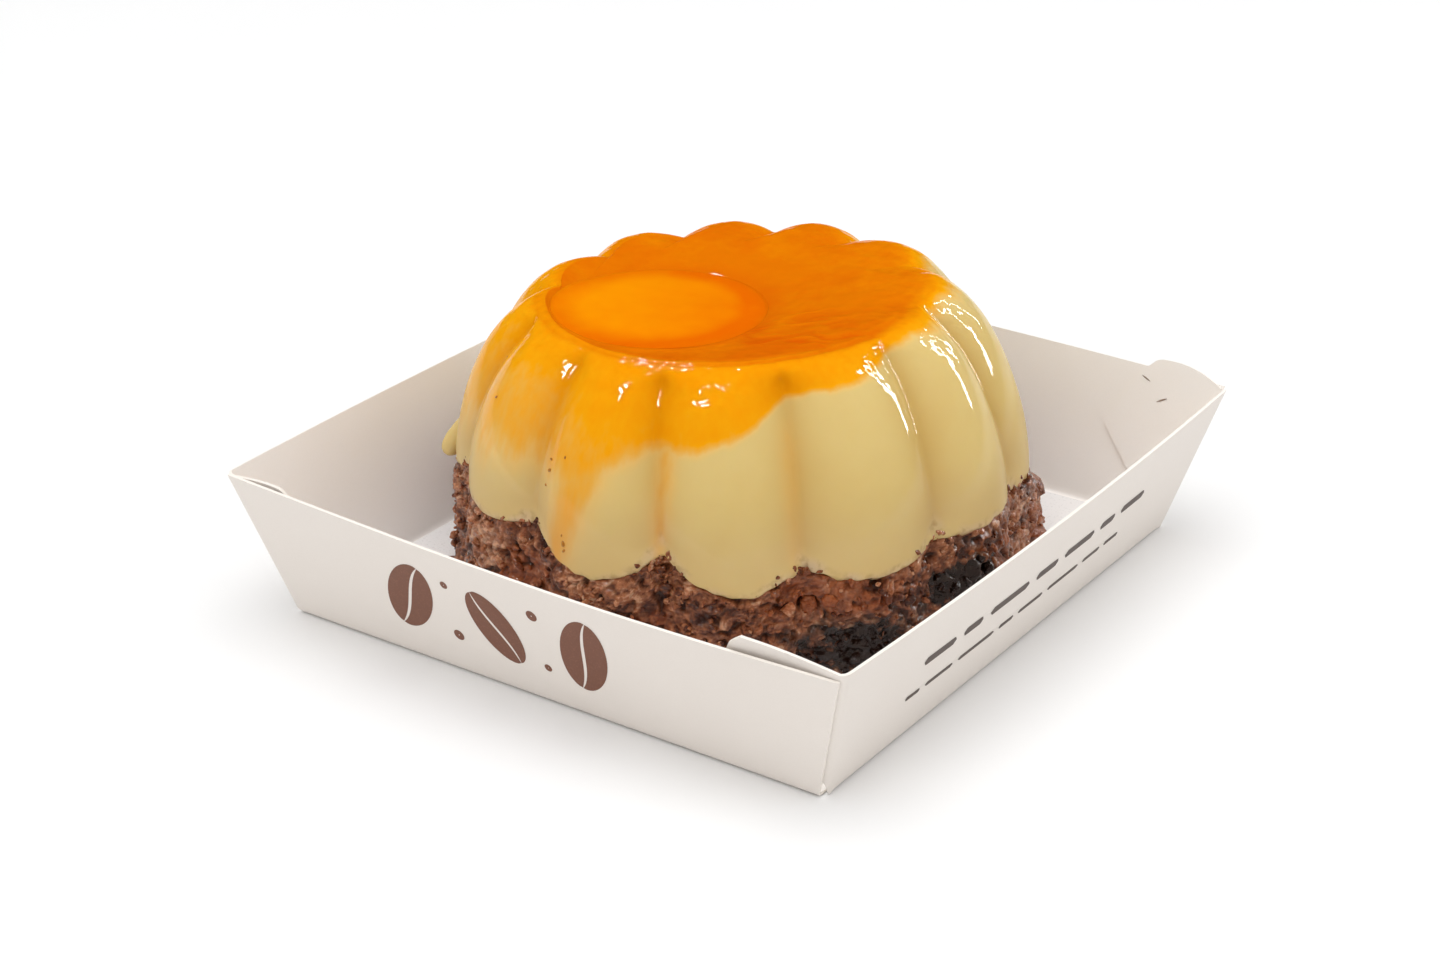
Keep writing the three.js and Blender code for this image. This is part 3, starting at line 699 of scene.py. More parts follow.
def end_sheet(side, card, lean):
    """A side wall with its ends rolled round the corners into flaps inside the other two walls."""
    shares = WALL_HEIGHTS / TRAY_HEIGHT
    radius = CORNER_ROUND
    clearance = card + CARD_GAP
    columns = []
    for end in (-1, 1):
        reach = FLAP_REACH[(side, end)]
        part = []
        for w in 1 - np.linspace(0, 1, FLAP_STEPS + 1) ** FLAP_CROWD:
            low = lerp(FLAP_FOOT_Z, FLAP_LOWER[1], w)
            high = TRAY_HEIGHT + FLAP_RISE * (flap_climb((side, end), w) - 1 / 4)
            z = lerp(low, high, shares)
            x = wall_half(0, z) - radius - w * flap_edge(reach, z)
            away = flap_depth(lean, (side, end), w, z)
            y = wall_face(1, x / wall_half(0, z), z) - clearance - away
            part.append(np.stack([side * x, end * y, z], -1))
        for turn in np.linspace(math.pi / 2, 0, ROLL_STEPS + 1)[1:]:
            low = FLAP_FOOT_Z * math.sin(turn) ** 2
            high = TRAY_HEIGHT - FLAP_RISE / 4 * math.sin(turn) ** 2
            z = lerp(low, high, shares)
            middle = wall_half(1, z) - clearance - radius
            x = wall_half(0, z) - radius + radius * math.cos(turn)
            part.append(np.stack([side * x, end * (middle + radius * math.sin(turn)), z], -1))
        columns.append(part)
    run = wall_half(1, WALL_HEIGHTS) - clearance - radius
    wall = []
    for along in np.linspace(-1, 1, WALL_COLUMNS + 1)[1:-1]:
        x = wall_face(0, along, WALL_HEIGHTS)
        wall.append(np.stack([side * x, along * run, WALL_HEIGHTS], -1))
    grid = np.array(columns[0] + wall + columns[1][::-1])
    if side > 0:
        grid = grid[::-1]
    return slab(grid, card)


def slit_shade_marks(card, lean):
    """Painted shade of the short slits that the flap at the +X +Y corner is cut with: thin dark strips
    standing just off the flap.
    """
    parts = []
    for x, z, length, turn in SLITS:
        run = np.linspace(-0.5, 0.5, 9)[:, None] * length
        width = np.array([-SLIT_HALF, SLIT_HALF]) * (1 - (np.linspace(-0.9, 0.9, 9)[:, None]) ** 2)
        angle = math.radians(turn)
        px = x + run * math.cos(angle) - width * math.sin(angle)
        pz = z + run * math.sin(angle) + width * math.cos(angle)
        w = (wall_half(0, z) - CORNER_ROUND - x) / flap_edge(FLAP_REACH[(1, 1)], z)
        depth = 2 * card + CARD_GAP + flap_depth(lean, (1, 1), min(w, 1.0), pz) + SLIT_PROUD
        py = wall_face(1, px / wall_half(0, pz), pz) - depth
        parts.append(slab(np.stack([px, py, pz], -1), SLIT_DEPTH))
    return join(parts)


def make_tray(settings):
    card = settings.card_thickness / MM
    lean = settings.flap_lean / MM
    parts = [channel_sheet(card), end_sheet(1, card, lean), end_sheet(-1, card, lean)]
    points, faces, sides = join(parts)
    tray = add_piece("card_tray", points, faces, card_finish(settings), ["tray"], 35)
    add_values(tray, "FACE", inside=sides == 1, cut=sides == 2)
    points, faces, _ = slit_shade_marks(card, lean)
    # The slits are dark strips of painted shade, not cuts in the card.
    add_piece("flap_slit_shade", points, faces, ink_finish("slit_shadow", srgb(150, 130, 116)))


# ---- Print ---------------------------------------------------------------------------------------

INK_RISE = 0.03                       # how far print stands off the card, so that it shows
INK_DEPTH = 0.02
BEAN_HALF = (7.4, 4.3)                # half length and width of a printed bean
BEAN_SEAM = (0.32, 0.55)              # half the gap between its halves, and how far it bends
# Beans on the front wall: middle along the wall and up it, turn in degrees, scale
FRONT_BEANS = ((-22.5, 13.2, 62, 1.0), (-5.5, 12.6, 118, 0.94), (11.5, 12.9, 74, 1.0))
FRONT_DOTS = ((-14.2, 8.0, 1.0), (-14.0, 18.2, 0.7), (3.1, 18.0, 1.0), (3.3, 7.6, 0.7))
SIDE_DASHES = {                       # height up the side wall: lengths of dash and gap in turn
    15.2: (9.0, 2.4, 5.5, 2.4, 12.0, 2.4, 7.0, 2.4, 10.0, 2.4, 5.0, 2.4, 8.5),
    9.2: (4.0, 1.6, 8.0, 1.6, 11.0, 1.6, 4.5, 1.6, 8.0, 1.6, 10.5, 1.6, 6.0, 1.6, 5.0),
}
SIDE_START = {15.2: -36.0, 9.2: -38.0}
DASH_HALF = {15.2: 0.75, 9.2: 0.4}
INSERT_BEAN = (-39.5, -30.0, 40, 0.75)


def bean_sheets(turn, scale):
    """A cocoa bean as two halves with a curved gap between them, flat, round its own middle."""
    angle = math.radians(turn)
    along = np.linspace(0.05, 0.95, 22)[:, None] * math.pi
    share = np.linspace(0, 1, 5)
    sheets = []
    for half in (-1, 1):
        gap = BEAN_SEAM[0] * half + BEAN_SEAM[1] * np.sin(2 * along)
        edge = half * BEAN_HALF[1] * np.sin(along)
        a = BEAN_HALF[0] * np.cos(along) * np.ones_like(share)
        b = lerp(gap * np.sin(along), edge, share)
        a, b = a * scale, b * scale
        sheets.append(np.stack([a * math.cos(angle) - b * math.sin(angle),
                                a * math.sin(angle) + b * math.cos(angle)], -1))
    return sheets


def dot_sheet(radius):
    """A dot: a small disc laid out as a grid of arcs."""
    turn = np.linspace(0, 2 * math.pi, 25)[:, None]
    spread = np.linspace(0.12, 1, 3) * radius
    return np.stack([spread * np.cos(turn), spread * np.sin(turn)], -1)


def dash_sheet(length, half):
    """A dash with round ends."""
    along = np.linspace(-1, 1, 17)[:, None]
    middle = length / 2 - half
    end = np.clip((np.abs(along) * length / 2 - middle) / half, 0, 0.995)
    width = half * np.sqrt(1 - end ** 2)
    across = np.linspace(-1, 1, 3)
    return np.stack([along * length / 2 * np.ones_like(across), width * across], -1)


def on_front_wall(sheet, x, z):
    px = x + sheet[..., 0]
    pz = z + sheet[..., 1]
    along = px / (wall_half(0, pz) - PANEL_STOP)
    return np.stack([px, -wall_face(1, along, pz) - INK_RISE, pz], -1)


def on_side_wall(sheet, y, z):
    py = y + sheet[..., 0]
    pz = z + sheet[..., 1]
    along = py / (wall_half(1, pz) - CORNER_ROUND)
    return np.stack([wall_face(0, along, pz) + INK_RISE, py, pz], -1)


def on_insert(sheet, x, y):
    height = INSERT_HIGH[2] + INK_RISE
    return np.stack([x + sheet[..., 0], y + sheet[..., 1], np.full(sheet.shape[:-1], height)], -1)


def make_print(settings):
    bold = []
    for x, z, turn, scale in FRONT_BEANS:
        bold += [on_front_wall(sheet, x, z) for sheet in bean_sheets(turn, scale)]
    bold += [on_front_wall(dot_sheet(radius), x, z) for x, z, radius in FRONT_DOTS]
    x, y, turn, scale = INSERT_BEAN
    bold += [on_insert(sheet, x, y) for sheet in bean_sheets(turn, scale)]
    fine = []
    for z, lengths in SIDE_DASHES.items():
        y = SIDE_START[z]
        for number, length in enumerate(lengths):
            if number % 2 == 0:
                fine.append(on_side_wall(dash_sheet(length, DASH_HALF[z]), y + length / 2, z))
            y += length
    for name, sheets, colour in (
            ("printed_beans", bold, settings.wall_print), ("printed_dashes", fine, settings.fine_print)):
        points, faces, _ = join([slab(sheet, INK_DEPTH) for sheet in sheets])
        add_piece(name, points, faces, ink_finish(name, colour), crease_angle=35)


# ---- Insert card ---------------------------------------------------------------------------------

INSERT_CORNER = 2.5
INSERT_EDGE = 0.08                    # the softening of its edges


def make_insert(settings):
    """A thin card with round corners and softened edges."""
    low, high = INSERT_LOW, INSERT_HIGH
    corner = np.linspace(0, math.pi / 2, 9)
    levels = (
        (INSERT_EDGE, low[2]), (0, low[2] + INSERT_EDGE),
        (0, high[2] - INSERT_EDGE), (INSERT_EDGE, high[2]))
    rings = []
    for inset, z in levels:
        ring = []
        for quarter, (sx, sy) in enumerate(((1, 1), (-1, 1), (-1, -1), (1, -1))):
            turn = corner + quarter * math.pi / 2
            x = sx * (high[0] - INSERT_CORNER) + (INSERT_CORNER - inset) * np.cos(turn)
            y = sy * (high[1] - INSERT_CORNER) + (INSERT_CORNER - inset) * np.sin(turn)
            ring.append(np.stack([x, y, np.full_like(x, z)], -1))
        rings.append(np.concatenate(ring))
    points, faces = skin(rings, (0, 0, low[2]), (0, 0, high[2]))
    add_piece("insert_sheet", points, faces, insert_finish(settings), ["insert_card"], 35)


# ---- Flutes --------------------------------------------------------------------------------------


def grooves(rise):
    """The grooves' angles at a share of the custard's rise, and the first again a turn later."""
    pitch = 360 / FLUTES
    rise = np.asarray(rise, float)[..., None]
    angles = np.radians(FIRST_GROOVE + np.arange(FLUTES) * pitch + GROOVE_DRIFT + GROOVE_TWIST * rise)
    return np.concatenate([angles, angles[..., :1] + 2 * math.pi], -1)


def rib_at(angle, rise=0.0):
    """The rib at an angle: its number, and its height from 0 in a groove to 1 between two grooves."""
    edges = grooves(np.broadcast_to(rise, np.shape(angle)))
    turned = edges[..., 0] + np.mod(angle - edges[..., 0], 2 * math.pi)
    number = np.clip((edges <= turned[..., None]).sum(-1) - 1, 0, FLUTES - 1)[..., None]
    start = np.take_along_axis(edges, number, -1)[..., 0]
    stop = np.take_along_axis(edges, number + 1, -1)[..., 0]
    return number[..., 0], np.clip(np.sin(math.pi * (turned - start) / (stop - start)), 0, 1)


def sunk_at(rib):
    """How far the flutes are sunk, from 0 on a rib to nearly 1 in a groove, whose bottom is soft."""
    half = FLUTE_SHARPNESS / 2
    rounded = GROOVE_FILLET ** FLUTE_SHARPNESS * (1 - half + half * (rib / GROOVE_FILLET) ** 2)
    return 1 - np.where(rib < GROOVE_FILLET, rounded, rib ** FLUTE_SHARPNESS)


def foot_height(angle, flute, rib):
    """The height of the custard's lower edge, which arches up in the grooves."""
    return FOOT_Z + round_table(FOOT_ARCH, angle) * (1 - rib) - FOOT_SAG[flute] * rib


COLUMN_CROWD = 0.55                   # 0 for even columns, 1 for columns that crowd to the grooves


def flute_columns(steps):
    """For each column round the custard, its flute and its place across it from 0 to 1. Columns
    crowd towards the grooves, so that their sharp bottoms stay sharp."""
    even = np.arange(steps) / steps
    across = lerp(even, (1 - np.cos(math.pi * even)) / 2, COLUMN_CROWD)
    return np.repeat(np.arange(FLUTES), steps), np.tile(across, FLUTES)


# ---- Custard -------------------------------------------------------------------------------------

COLUMNS_PER_FLUTE = 44
SIDE_ROWS = 84
CROWN_ROWS = 42
POOL_ROWS = 8
VALLEY_RUN = 9.0                      # the grooves die out this far inside the ridge
GROOVE_END_RUN = (0.72, 0.98)         # where up the side they change to what GROOVE_ENDS leaves
# Relief of the glaze. A place runs from 0 at the foot and 1 on the ridge to 2 at the pool's edge
RIPPLE_SPACING = 9.0
SHOULDER_SPACING = (2.6, 2.6, 4.2)    # spacing of the finer ripples on the shoulder
SHOULDER = (0.62, 0.85, 1.3, 1.8)     # places at which they start, are full, fade and end
CREASE_HEIGHT = 0.12
RUN_RIDGE = (math.radians(-95.5), 1.3, 0.35)   # angle, half width and height of the thickest run
RAGGED_FOOT = ((1.7, 0.45), (4.0, 0.35))       # spacing and depth of the foot's ragged edge
FOOT_HANG = 0.6                       # how much lower the foot hangs than the solid's


def side_point(angle, flute, rib, quarter):
    """The custard's side; quarter runs from 0 at the foot to 1 on the ridge."""
    turn = quarter * math.pi / 2
    rise = np.sin(turn) ** RISE_ROUND
    draw = np.maximum(0, np.cos(turn)) ** SIDE_ROUND
    fade_end = FLUTE_FADE[1] + FLUTE_CRISP[1] * np.cos(angle - FLUTE_CRISP[0])
    fade = 1 - smooth(quarter, FLUTE_FADE[0], fade_end)
    sunk = sunk_at(rib) * lerp(1, round_table(GROOVE_ENDS, angle), smooth(quarter, *GROOVE_END_RUN))
    radius = lerp(RIDGE_RADIUS, FOOT_RADIUS, draw) - lerp(*FLUTE_DEPTH, rise) * fade * sunk
    x = FLAN_CENTRE[0] + RIDGE_SHIFT[0] * rise + radius * np.cos(angle)
    y = FLAN_CENTRE[1] + RIDGE_SHIFT[1] * rise + radius * np.sin(angle)
    tilt = (x * CROWN_TILT[0] + y * CROWN_TILT[1]) * rise
    far_side = (1 + np.cos(angle - FLUTE_CRISP[0])) / 2
    valley = CROWN_VALLEY * far_side * sunk * smooth(rise, VALLEY_START, 1)
    return np.stack([x, y, lerp(foot_height(angle, flute, rib), CROWN_Z, rise) + tilt - valley], -1)


def pool_floor(distance):
    return POOL_LEVEL - POOL_DEPTH * np.maximum(0, 1 - (distance / POOL_RADIUS) ** 2) ** POOL_WALL


def pool_point(angle, distance, z):
    x = POOL_CENTRE[0] + distance * np.cos(angle)
    y = POOL_CENTRE[1] + distance * np.sin(angle)
    return np.stack([x, y, np.broadcast_to(z, x.shape)], -1)


def custard_grid():
    """The custard's outside as rings of points from under its foot to the middle of the pool's bed,
    with each ring's place: 0 at the foot, 1 on the ridge and 2 at the pool's edge."""
    flute, across = flute_columns(COLUMNS_PER_FLUTE)
    rib = np.sin(math.pi * across)

    def angles(rise):
        edges = grooves(rise)
        return lerp(edges[..., flute], edges[..., flute + 1], across)

    even = np.linspace(0, 1, SIDE_ROWS)[:, None]
    quarter = lerp(even, np.sin(even * math.pi / 2), 0.25)
    side_angle = angles(np.sin(quarter[:, 0] * math.pi / 2) ** RISE_ROUND)
    side = side_point(side_angle, flute, rib, quarter)

    foot = side[0]
    centre = np.array([*FLAN_CENTRE, FOOT_Z - LIP_DROP])
    lip = LIP_TUCK / FOOT_RADIUS
    bed = []
    for share in (0.5, 0.75, 0.9, 1 - lip, 1 - lip / 3):
        drop = LIP_DROP * (1 if share < 1 - lip / 2 else 0.5)
        ring = lerp(centre, foot, share)
        ring[:, 2] = lerp(centre[2], foot[:, 2] - drop, smooth(share, BED_FLAT, 1))
        bed.append(ring)

    top_angle = side_angle[-1]
    shore = pool_point(top_angle, POOL_RADIUS, POOL_LEVEL)
    share = np.linspace(0, 1, CROWN_ROWS + 1)[1:, None, None]
    crown = lerp(side[-1], shore, share)
    plain = side_point(top_angle, flute, np.ones_like(rib), 1.0)
    width = np.linalg.norm((plain - shore)[:, :2], axis=-1)
    inward = np.linalg.norm((plain - side[-1])[:, :2], axis=-1) / width
    along = np.clip(inward + (1 - inward) * share[..., 0], 0, 1)
    open_z = lerp(plain[:, 2], POOL_LEVEL, along ** CROWN_DISH)
    dip = lerp(plain[:, 2], POOL_LEVEL, inward ** CROWN_DISH) - side[-1][:, 2]
    crown[..., 2] = open_z - dip * (1 - smooth(share[..., 0] * width, 0, VALLEY_RUN))

    distance = POOL_RADIUS * np.sin(np.linspace(math.pi / 2, 0, POOL_ROWS + 2)[1:-1])
    pool = [pool_point(top_angle, d, pool_floor(d)) for d in distance]

    rings = np.concatenate([np.array(bed), side, crown, np.array(pool)])
    place = np.concatenate([
        np.zeros(len(bed)), quarter[:, 0], 1 + share[:, 0, 0], np.full(POOL_ROWS, 2.0)])[:, None]
    angle = np.concatenate([
        np.repeat(side_angle[:1], len(bed), 0), side_angle,
        np.repeat(top_angle[None], CROWN_ROWS + POOL_ROWS, 0)])
    return rings, place * np.ones_like(angle), angle, rib * np.ones_like(angle)


def arc_from(rings, place, angle, table):
    """Signed distance in millimetres up the surface from a line that runs round it."""
    step = np.linalg.norm(np.diff(rings, axis=0), axis=-1)
    arc = np.vstack([np.zeros((1, step.shape[1])), np.cumsum(step, axis=0)])
    line = round_table(table, angle[-1])
    row = np.argmax(place >= line, axis=0)
    here = np.take_along_axis(arc, row[None], 0)[0]
    return arc - here


def crease_profile(away):
    """A sharp fold: a narrow dip with a soft roll above it."""
    return hump(away - 0.7, 0.7) - 1.3 * hump(away + 0.25, 0.4)


def wrinkle_mask(points):
    """1 inside the wrinkled patch beside the pool and 0 well outside it."""
    offset = points[..., :2] - WRINKLE_CENTRE
    along = offset @ (math.cos(WRINKLE_TURN), math.sin(WRINKLE_TURN))
    across = offset @ (-math.sin(WRINKLE_TURN), math.cos(WRINKLE_TURN))
    reach = np.hypot(along / WRINKLE_HALF[0], across / WRINKLE_HALF[1])
    return 1 - smooth(reach, 0.55, 1.15), along, across


def wrinkles(points):
    """Long folds in the caramel's skin, with sharp crests, that wander and run out."""
    _, along, across = wrinkle_mask(points)
    wander = 3.4 * bumps(points, 5.5, 31) + 1.2 * bumps(points, 2.4, 34)
    length, spacing = WRINKLE_GRAIN
    stretched = np.stack([along / length, (across + wander) / spacing, np.zeros_like(along)], -1)
    folds = 1 - np.abs(bumps(stretched, 1.0, 32))
    small = 1 - np.abs(bumps(stretched * (1.7, 2.1, 1.0), 1.0, 33))
    return folds ** 2 + 0.4 * small ** 2 - 0.7


def custard_relief(rings, place, angle, settings):
    """How far the glaze stands off the plain form, in millimetres along its normal."""
    ripple = settings.ripple / MM
    height = ripple * layered_bumps(rings, RIPPLE_SPACING, 11, 2)
    height += ripple * between(place, *SHOULDER) * bumps(rings, SHOULDER_SPACING, 14)
    low, full, fading, high = np.radians(CREASE_ENDS)
    fade = smooth(turn_gap(angle, low), 0, full - low)
    fade *= 1 - smooth(turn_gap(angle, fading), 0, high - fading)
    fade = np.where(turn_gap(angle, low) < 0, 0, fade)
    away = arc_from(rings, place, angle, CREASE_LINE)
    height += CREASE_HEIGHT * fade * crease_profile(away)
    mask, _, _ = wrinkle_mask(rings)
    height += settings.wrinkle / MM * mask * between(place, 1.0, 1.12, 1.9, 2.0) * wrinkles(rings)
    run_angle, run_half, run_height = RUN_RIDGE
    run = hump(turn_gap(angle, run_angle) * FOOT_RADIUS, run_half)
    height += run_height * run * between(place, 0.02, 0.12, 0.45, 0.7)
    return height * between(place, 0.0, 0.03, 1.97, 2.0)


RIDGE_STAIN = 0.75


def stain_amount(rings, place, angle):
    """How much caramel has soaked in: 0 none, RIDGE_STAIN on the ridge, 1 under the crown's film."""
    streaky = bumps(np.stack([angle * 24, place * 2, place * 0], -1), 1.0, 21)
    low, soft, strength = (round_table(STAIN, angle, column) for column in range(3))
    low = low + 0.3 * soft * streaky
    soaked = smooth(place, low - soft, low + soft)
    climb = np.clip((place - low) / (0.96 - low), 0, 1)
    patchy = 0.05 * layered_bumps(rings, 7.0, 22, 2)
    run = np.zeros_like(angle)
    for line, width, strength_there in RUNS:
        run_angle = np.radians(np.interp(place, (0.0, 0.25, 0.5), line))
        off_line = turn_gap(angle, run_angle) / np.radians(lerp(*width, np.clip(place / 0.5, 0, 1)))
        run = np.maximum(run, strength_there * hump(off_line, 1.0) * (1 - smooth(place, 0.45, 0.65)))
    far_side = (1 + np.cos(angle - FLUTE_CRISP[0])) / 2
    film = smooth(place, lerp(0.97, 0.72, far_side), lerp(1.22, 1.1, far_side))
    side = soaked * (lerp(strength, RIDGE_STAIN, climb ** 1.4) + (1 - RIDGE_STAIN) * film + patchy)
    return np.maximum(side, run)


def ember_amount(rings, place, angle):
    """How dark the caramel's film is made, towards burnt orange: painted shade in the troughs of its folds
    and along its front crease; darker over the wrinkled patch, in a ring round the pool that is strongest
    towards +X and +Y, in clouds on the crown and in a band just inside its front."""
    mask, _, _ = wrinkle_mask(rings)
    # Painted shade in the troughs of the folds.
    folds = smooth(wrinkles(rings), 0.1, -0.5) * mask * smooth(place, 1.0, 1.1)
    far_of_pool = smooth((rings[..., :2] - POOL_CENTRE) @ (0.80, 0.60) / POOL_RADIUS, -0.6, 0.8)
    gathered = hump(place - 1.98, 0.1) * smooth(place, 1.5, 1.8) * lerp(0.25, 1, far_of_pool)
    on_front = np.cos(angle + math.radians(58)) > 0
    # Painted shade along the crease at the front.
    crease = hump(arc_from(rings, place, angle, CREASE_LINE) + 0.2, 0.7) * on_front
    clouds = smooth(layered_bumps(rings, 7.0, 23, 3), -0.1, 0.7) * smooth(place, 0.95, 1.15)
    front_band = smooth(np.cos(angle + math.radians(70)), 0.1, 0.7) * smooth(place, 0.94, 1.02)
    total = 0.45 * folds + 0.4 * gathered + 0.25 * crease + 0.14 * mask * (place > 1)
    return np.clip(total + 0.3 * clouds + 0.3 * front_band, 0, 1)


def fringe_amount(rings, place, rib):
    """How much crumb the custard holds: flecks at its foot, more in the grooves, and a pale band."""
    flecks = (1 - smooth(place, 0.0, 0.06 + 0.13 * (1 - rib) ** 2)) * (0.5 + 0.5 * bumps(rings, 2.0, 43))
    return np.maximum(flecks, 0.2 * (1 - smooth(place, 0.08, 0.36)))


def make_custard(settings):
    rings, place, angle, rib = custard_grid()
    relief = custard_relief(rings, place, angle, settings)
    ragged = sum(depth * bumps(rings, spacing, 41 + k) for k, (spacing, depth) in enumerate(RAGGED_FOOT))
    rings = rings + normals_of(rings, wrap=True) * relief[..., None]
    rings[..., 2] += (ragged - FOOT_HANG) * (1 - smooth(place, 0.0, 0.07))
    excess = max(0.0, rings[..., 2].max() - cad_box("custard")[1][2] + 0.01)
    rings[..., 2] -= excess * smooth(rings[..., 2], FOOT_Z, CROWN_Z)
    first = (*FLAN_CENTRE, FOOT_Z - LIP_DROP)
    last = (*POOL_CENTRE, pool_floor(0))
    points, faces = skin(rings, first, last)
    custard = add_piece("custard_dome", points, faces, custard_finish(settings), ["custard"])
    grids = {
        "stain": stain_amount(rings, place, angle),
        "fringe": fringe_amount(rings, place, rib),
        "ember": ember_amount(rings, place, angle),
        "glaze": between(place, 0.5, 0.8, 1.9, 2.0) * (1 - 0.5 * smooth(place, 1.1, 1.4)),
        # Painted shade in the grooves, over the lower part of the side.
        "groove": 0.75 * sunk_at(rib) ** 1.6 * between(place, 0.02, 0.12, 0.7, 0.95),
    }
    add_values(custard, **{
        name: np.concatenate([grid[0, :1], grid.ravel(), grid[-1, :1]]) for name, grid in grids.items()})


def make_drip(settings):
    """A drop of custard on a thin neck, leaning from the side to its free end."""

    def spot(radius, z):
        return np.array([FLAN_CENTRE[0] + radius * math.cos(DRIP_ANGLE),
                         FLAN_CENTRE[1] + radius * math.sin(DRIP_ANGLE), z])
    top = spot(*DRIP_TOP)
    end = spot(*DRIP_END)
    lean = Vector(top - end).to_track_quat("Z", "Y").to_matrix()
    length = np.linalg.norm(top - end)
    turn = np.linspace(0, 2 * math.pi, 32, endpoint=False)
    rings = []
    for along in np.linspace(0.02, 0.98, 26):
        swell = math.sqrt(math.sin(math.pi * along ** DRIP_NECK)) * DRIP_WIDTH / 2
        ring = np.stack(
            [swell * np.cos(turn), swell * np.sin(turn), np.full_like(turn, along * length)], -1)
        rings.append(ring @ np.array(lean).T + end)
    rings = np.array(rings)
    rings += normals_of(rings, wrap=True) * (0.12 * bumps(rings, 1.6, 51))[..., None]
    points, faces = skin(rings, end, top)
    drip = add_piece("custard_drip", points, faces, custard_finish(settings))
    plain = np.zeros(len(points))
    add_values(drip, stain=plain, fringe=plain + 0.08, ember=plain, glaze=plain, groove=plain)


# ---- Caramel -------------------------------------------------------------------------------------

CARAMEL_COLUMNS = 144
CARAMEL_ROWS = 40
CARAMEL_REACH = 0.35                  # the caramel wets this far past the pool's edge
BED_GAP = 0.3                         # the caramel's underside lies this far over the custard's bed
LEAST_DEPTH = 0.1
EDGE_DROP = 0.06                      # how far the surface turns down at its very edge
POOL_RIPPLE = (7.0, 0.07)             # spacing and height
CLIMB = (0.5, 0.5)                    # how much further out and up where the ridge is close
CLIMB_ANGLE = math.radians(214)
SPECKS = (                            # angle, share up the side, radius of the dark specks
    (-119.5, 0.49, 0.256), (-97.6, 0.31, 0.336), (-97.9, 0.35, 0.24), (-98.2, 0.24, 0.2),
    (-91.4, 0.1, 0.4), (-93.6, 0.41, 0.208), (-91.2, 0.07, 0.272), (-132.0, 0.56, 0.192),
    (150.0, 0.5, 0.28), (164.0, 0.62, 0.224), (112.0, 0.66, 0.24), (-91.9, 0.13, 0.176))
SPECK_FLAT = 0.45                     # a speck's half thickness over its radius
SPECK_RISE = 0.05                     # how far its middle stands off the glaze


def make_caramel(settings):
    """The pool: a flat-bottomed lens of caramel that climbs a little where it meets the custard."""
    edge = POOL_RADIUS + CARAMEL_REACH
    turn = np.linspace(0, 2 * math.pi, CARAMEL_COLUMNS, endpoint=False)
    share = np.sin(np.linspace(0, math.pi / 2, CARAMEL_ROWS + 1)[1:])
    near_ridge = smooth(np.cos(turn - CLIMB_ANGLE), 0.6, 1.0)
    distance = edge * share
    under = np.minimum(pool_floor(distance) + BED_GAP, POOL_LEVEL - LEAST_DEPTH)
    over = POOL_LEVEL + POOL_SWELL * (1 - share ** 2) - EDGE_DROP * smooth(share, 0.96, 1.0)
    outward, upward = CLIMB
    lower = [pool_point(turn, d, z) for d, z in zip(distance, under)]
    upper = [
        pool_point(turn, d + outward * near_ridge * s ** 4, z + upward * near_ridge * smooth(s, 0.72, 1.0))
        for d, z, s in zip(distance[::-1], over[::-1], share[::-1])]
    rings = np.array(lower + upper)
    spacing, height = POOL_RIPPLE
    rings[len(lower):, :, 2] += height * bumps(rings[len(lower):], spacing, 61)
    points, faces = skin(rings, (*POOL_CENTRE, under[0]), (*POOL_CENTRE, over[0] + 0.02))
    caramel = add_piece("caramel_pool", points, faces, caramel_finish(settings), ["caramel"])
    offset = (points[:, :2] - POOL_CENTRE) / edge
    away = np.linalg.norm(offset, axis=-1)
    # deeper in colour to one side and towards the edge
    depth = 0.36 + 0.4 * (offset @ (0.93, 0.36)) + 0.7 * smooth(away, 0.62, 1.0)
    add_values(caramel, depth=np.clip(depth, 0, 1))


def make_specks():
    """Dark specks of burnt caramel caught in the glaze."""
    turn = np.linspace(0, 2 * math.pi, 14, endpoint=False)
    parts = []
    for number, (degrees, quarter, radius) in enumerate(SPECKS):
        angle = np.radians([degrees])
        rise = math.sin(quarter * math.pi / 2) ** RISE_ROUND
        centre = side_point(angle, *rib_at(angle, np.array([rise])), np.array([quarter]))[0]
        out = np.array([math.cos(angle[0]), math.sin(angle[0]), 0.45])
        out /= np.linalg.norm(out)
        side = np.cross((0, 0, 1), out)
        side /= np.linalg.norm(side)
        up = np.cross(out, side)
        flat = SPECK_FLAT * radius
        rings = []
        for tilt in np.linspace(-1.2, 1.2, 7):
            wide = radius * math.cos(tilt) * (1 + 0.25 * np.sin(2 * turn + number))
            ring = centre + out * (flat * math.sin(tilt) + SPECK_RISE)
            ring = ring + wide[:, None] * (np.cos(turn)[:, None] * side + np.sin(turn)[:, None] * up)
            rings.append(ring)
        points, faces = skin(rings, centre - out * radius * 0.42, centre + out * (flat + SPECK_RISE))
        parts.append((points, faces, np.zeros(len(faces))))
    points, faces, _ = join(parts)
    finish = Finish("burnt_speck", Specular_IOR_Level=0.5, Coat_Weight=0.8, Coat_Roughness=0.05)
    grain = finish.noise(0.3)
    finish.colour(finish.blend(grain, srgb(140, 80, 10), srgb(206, 136, 20)))
    finish.roughness(finish.range(grain, 0.2, 0.8, 0.25, 0.4))
    add_piece("caramel_specks", points, faces, finish.material)


# ---- Cake ----------------------------------------------------------------------------------------

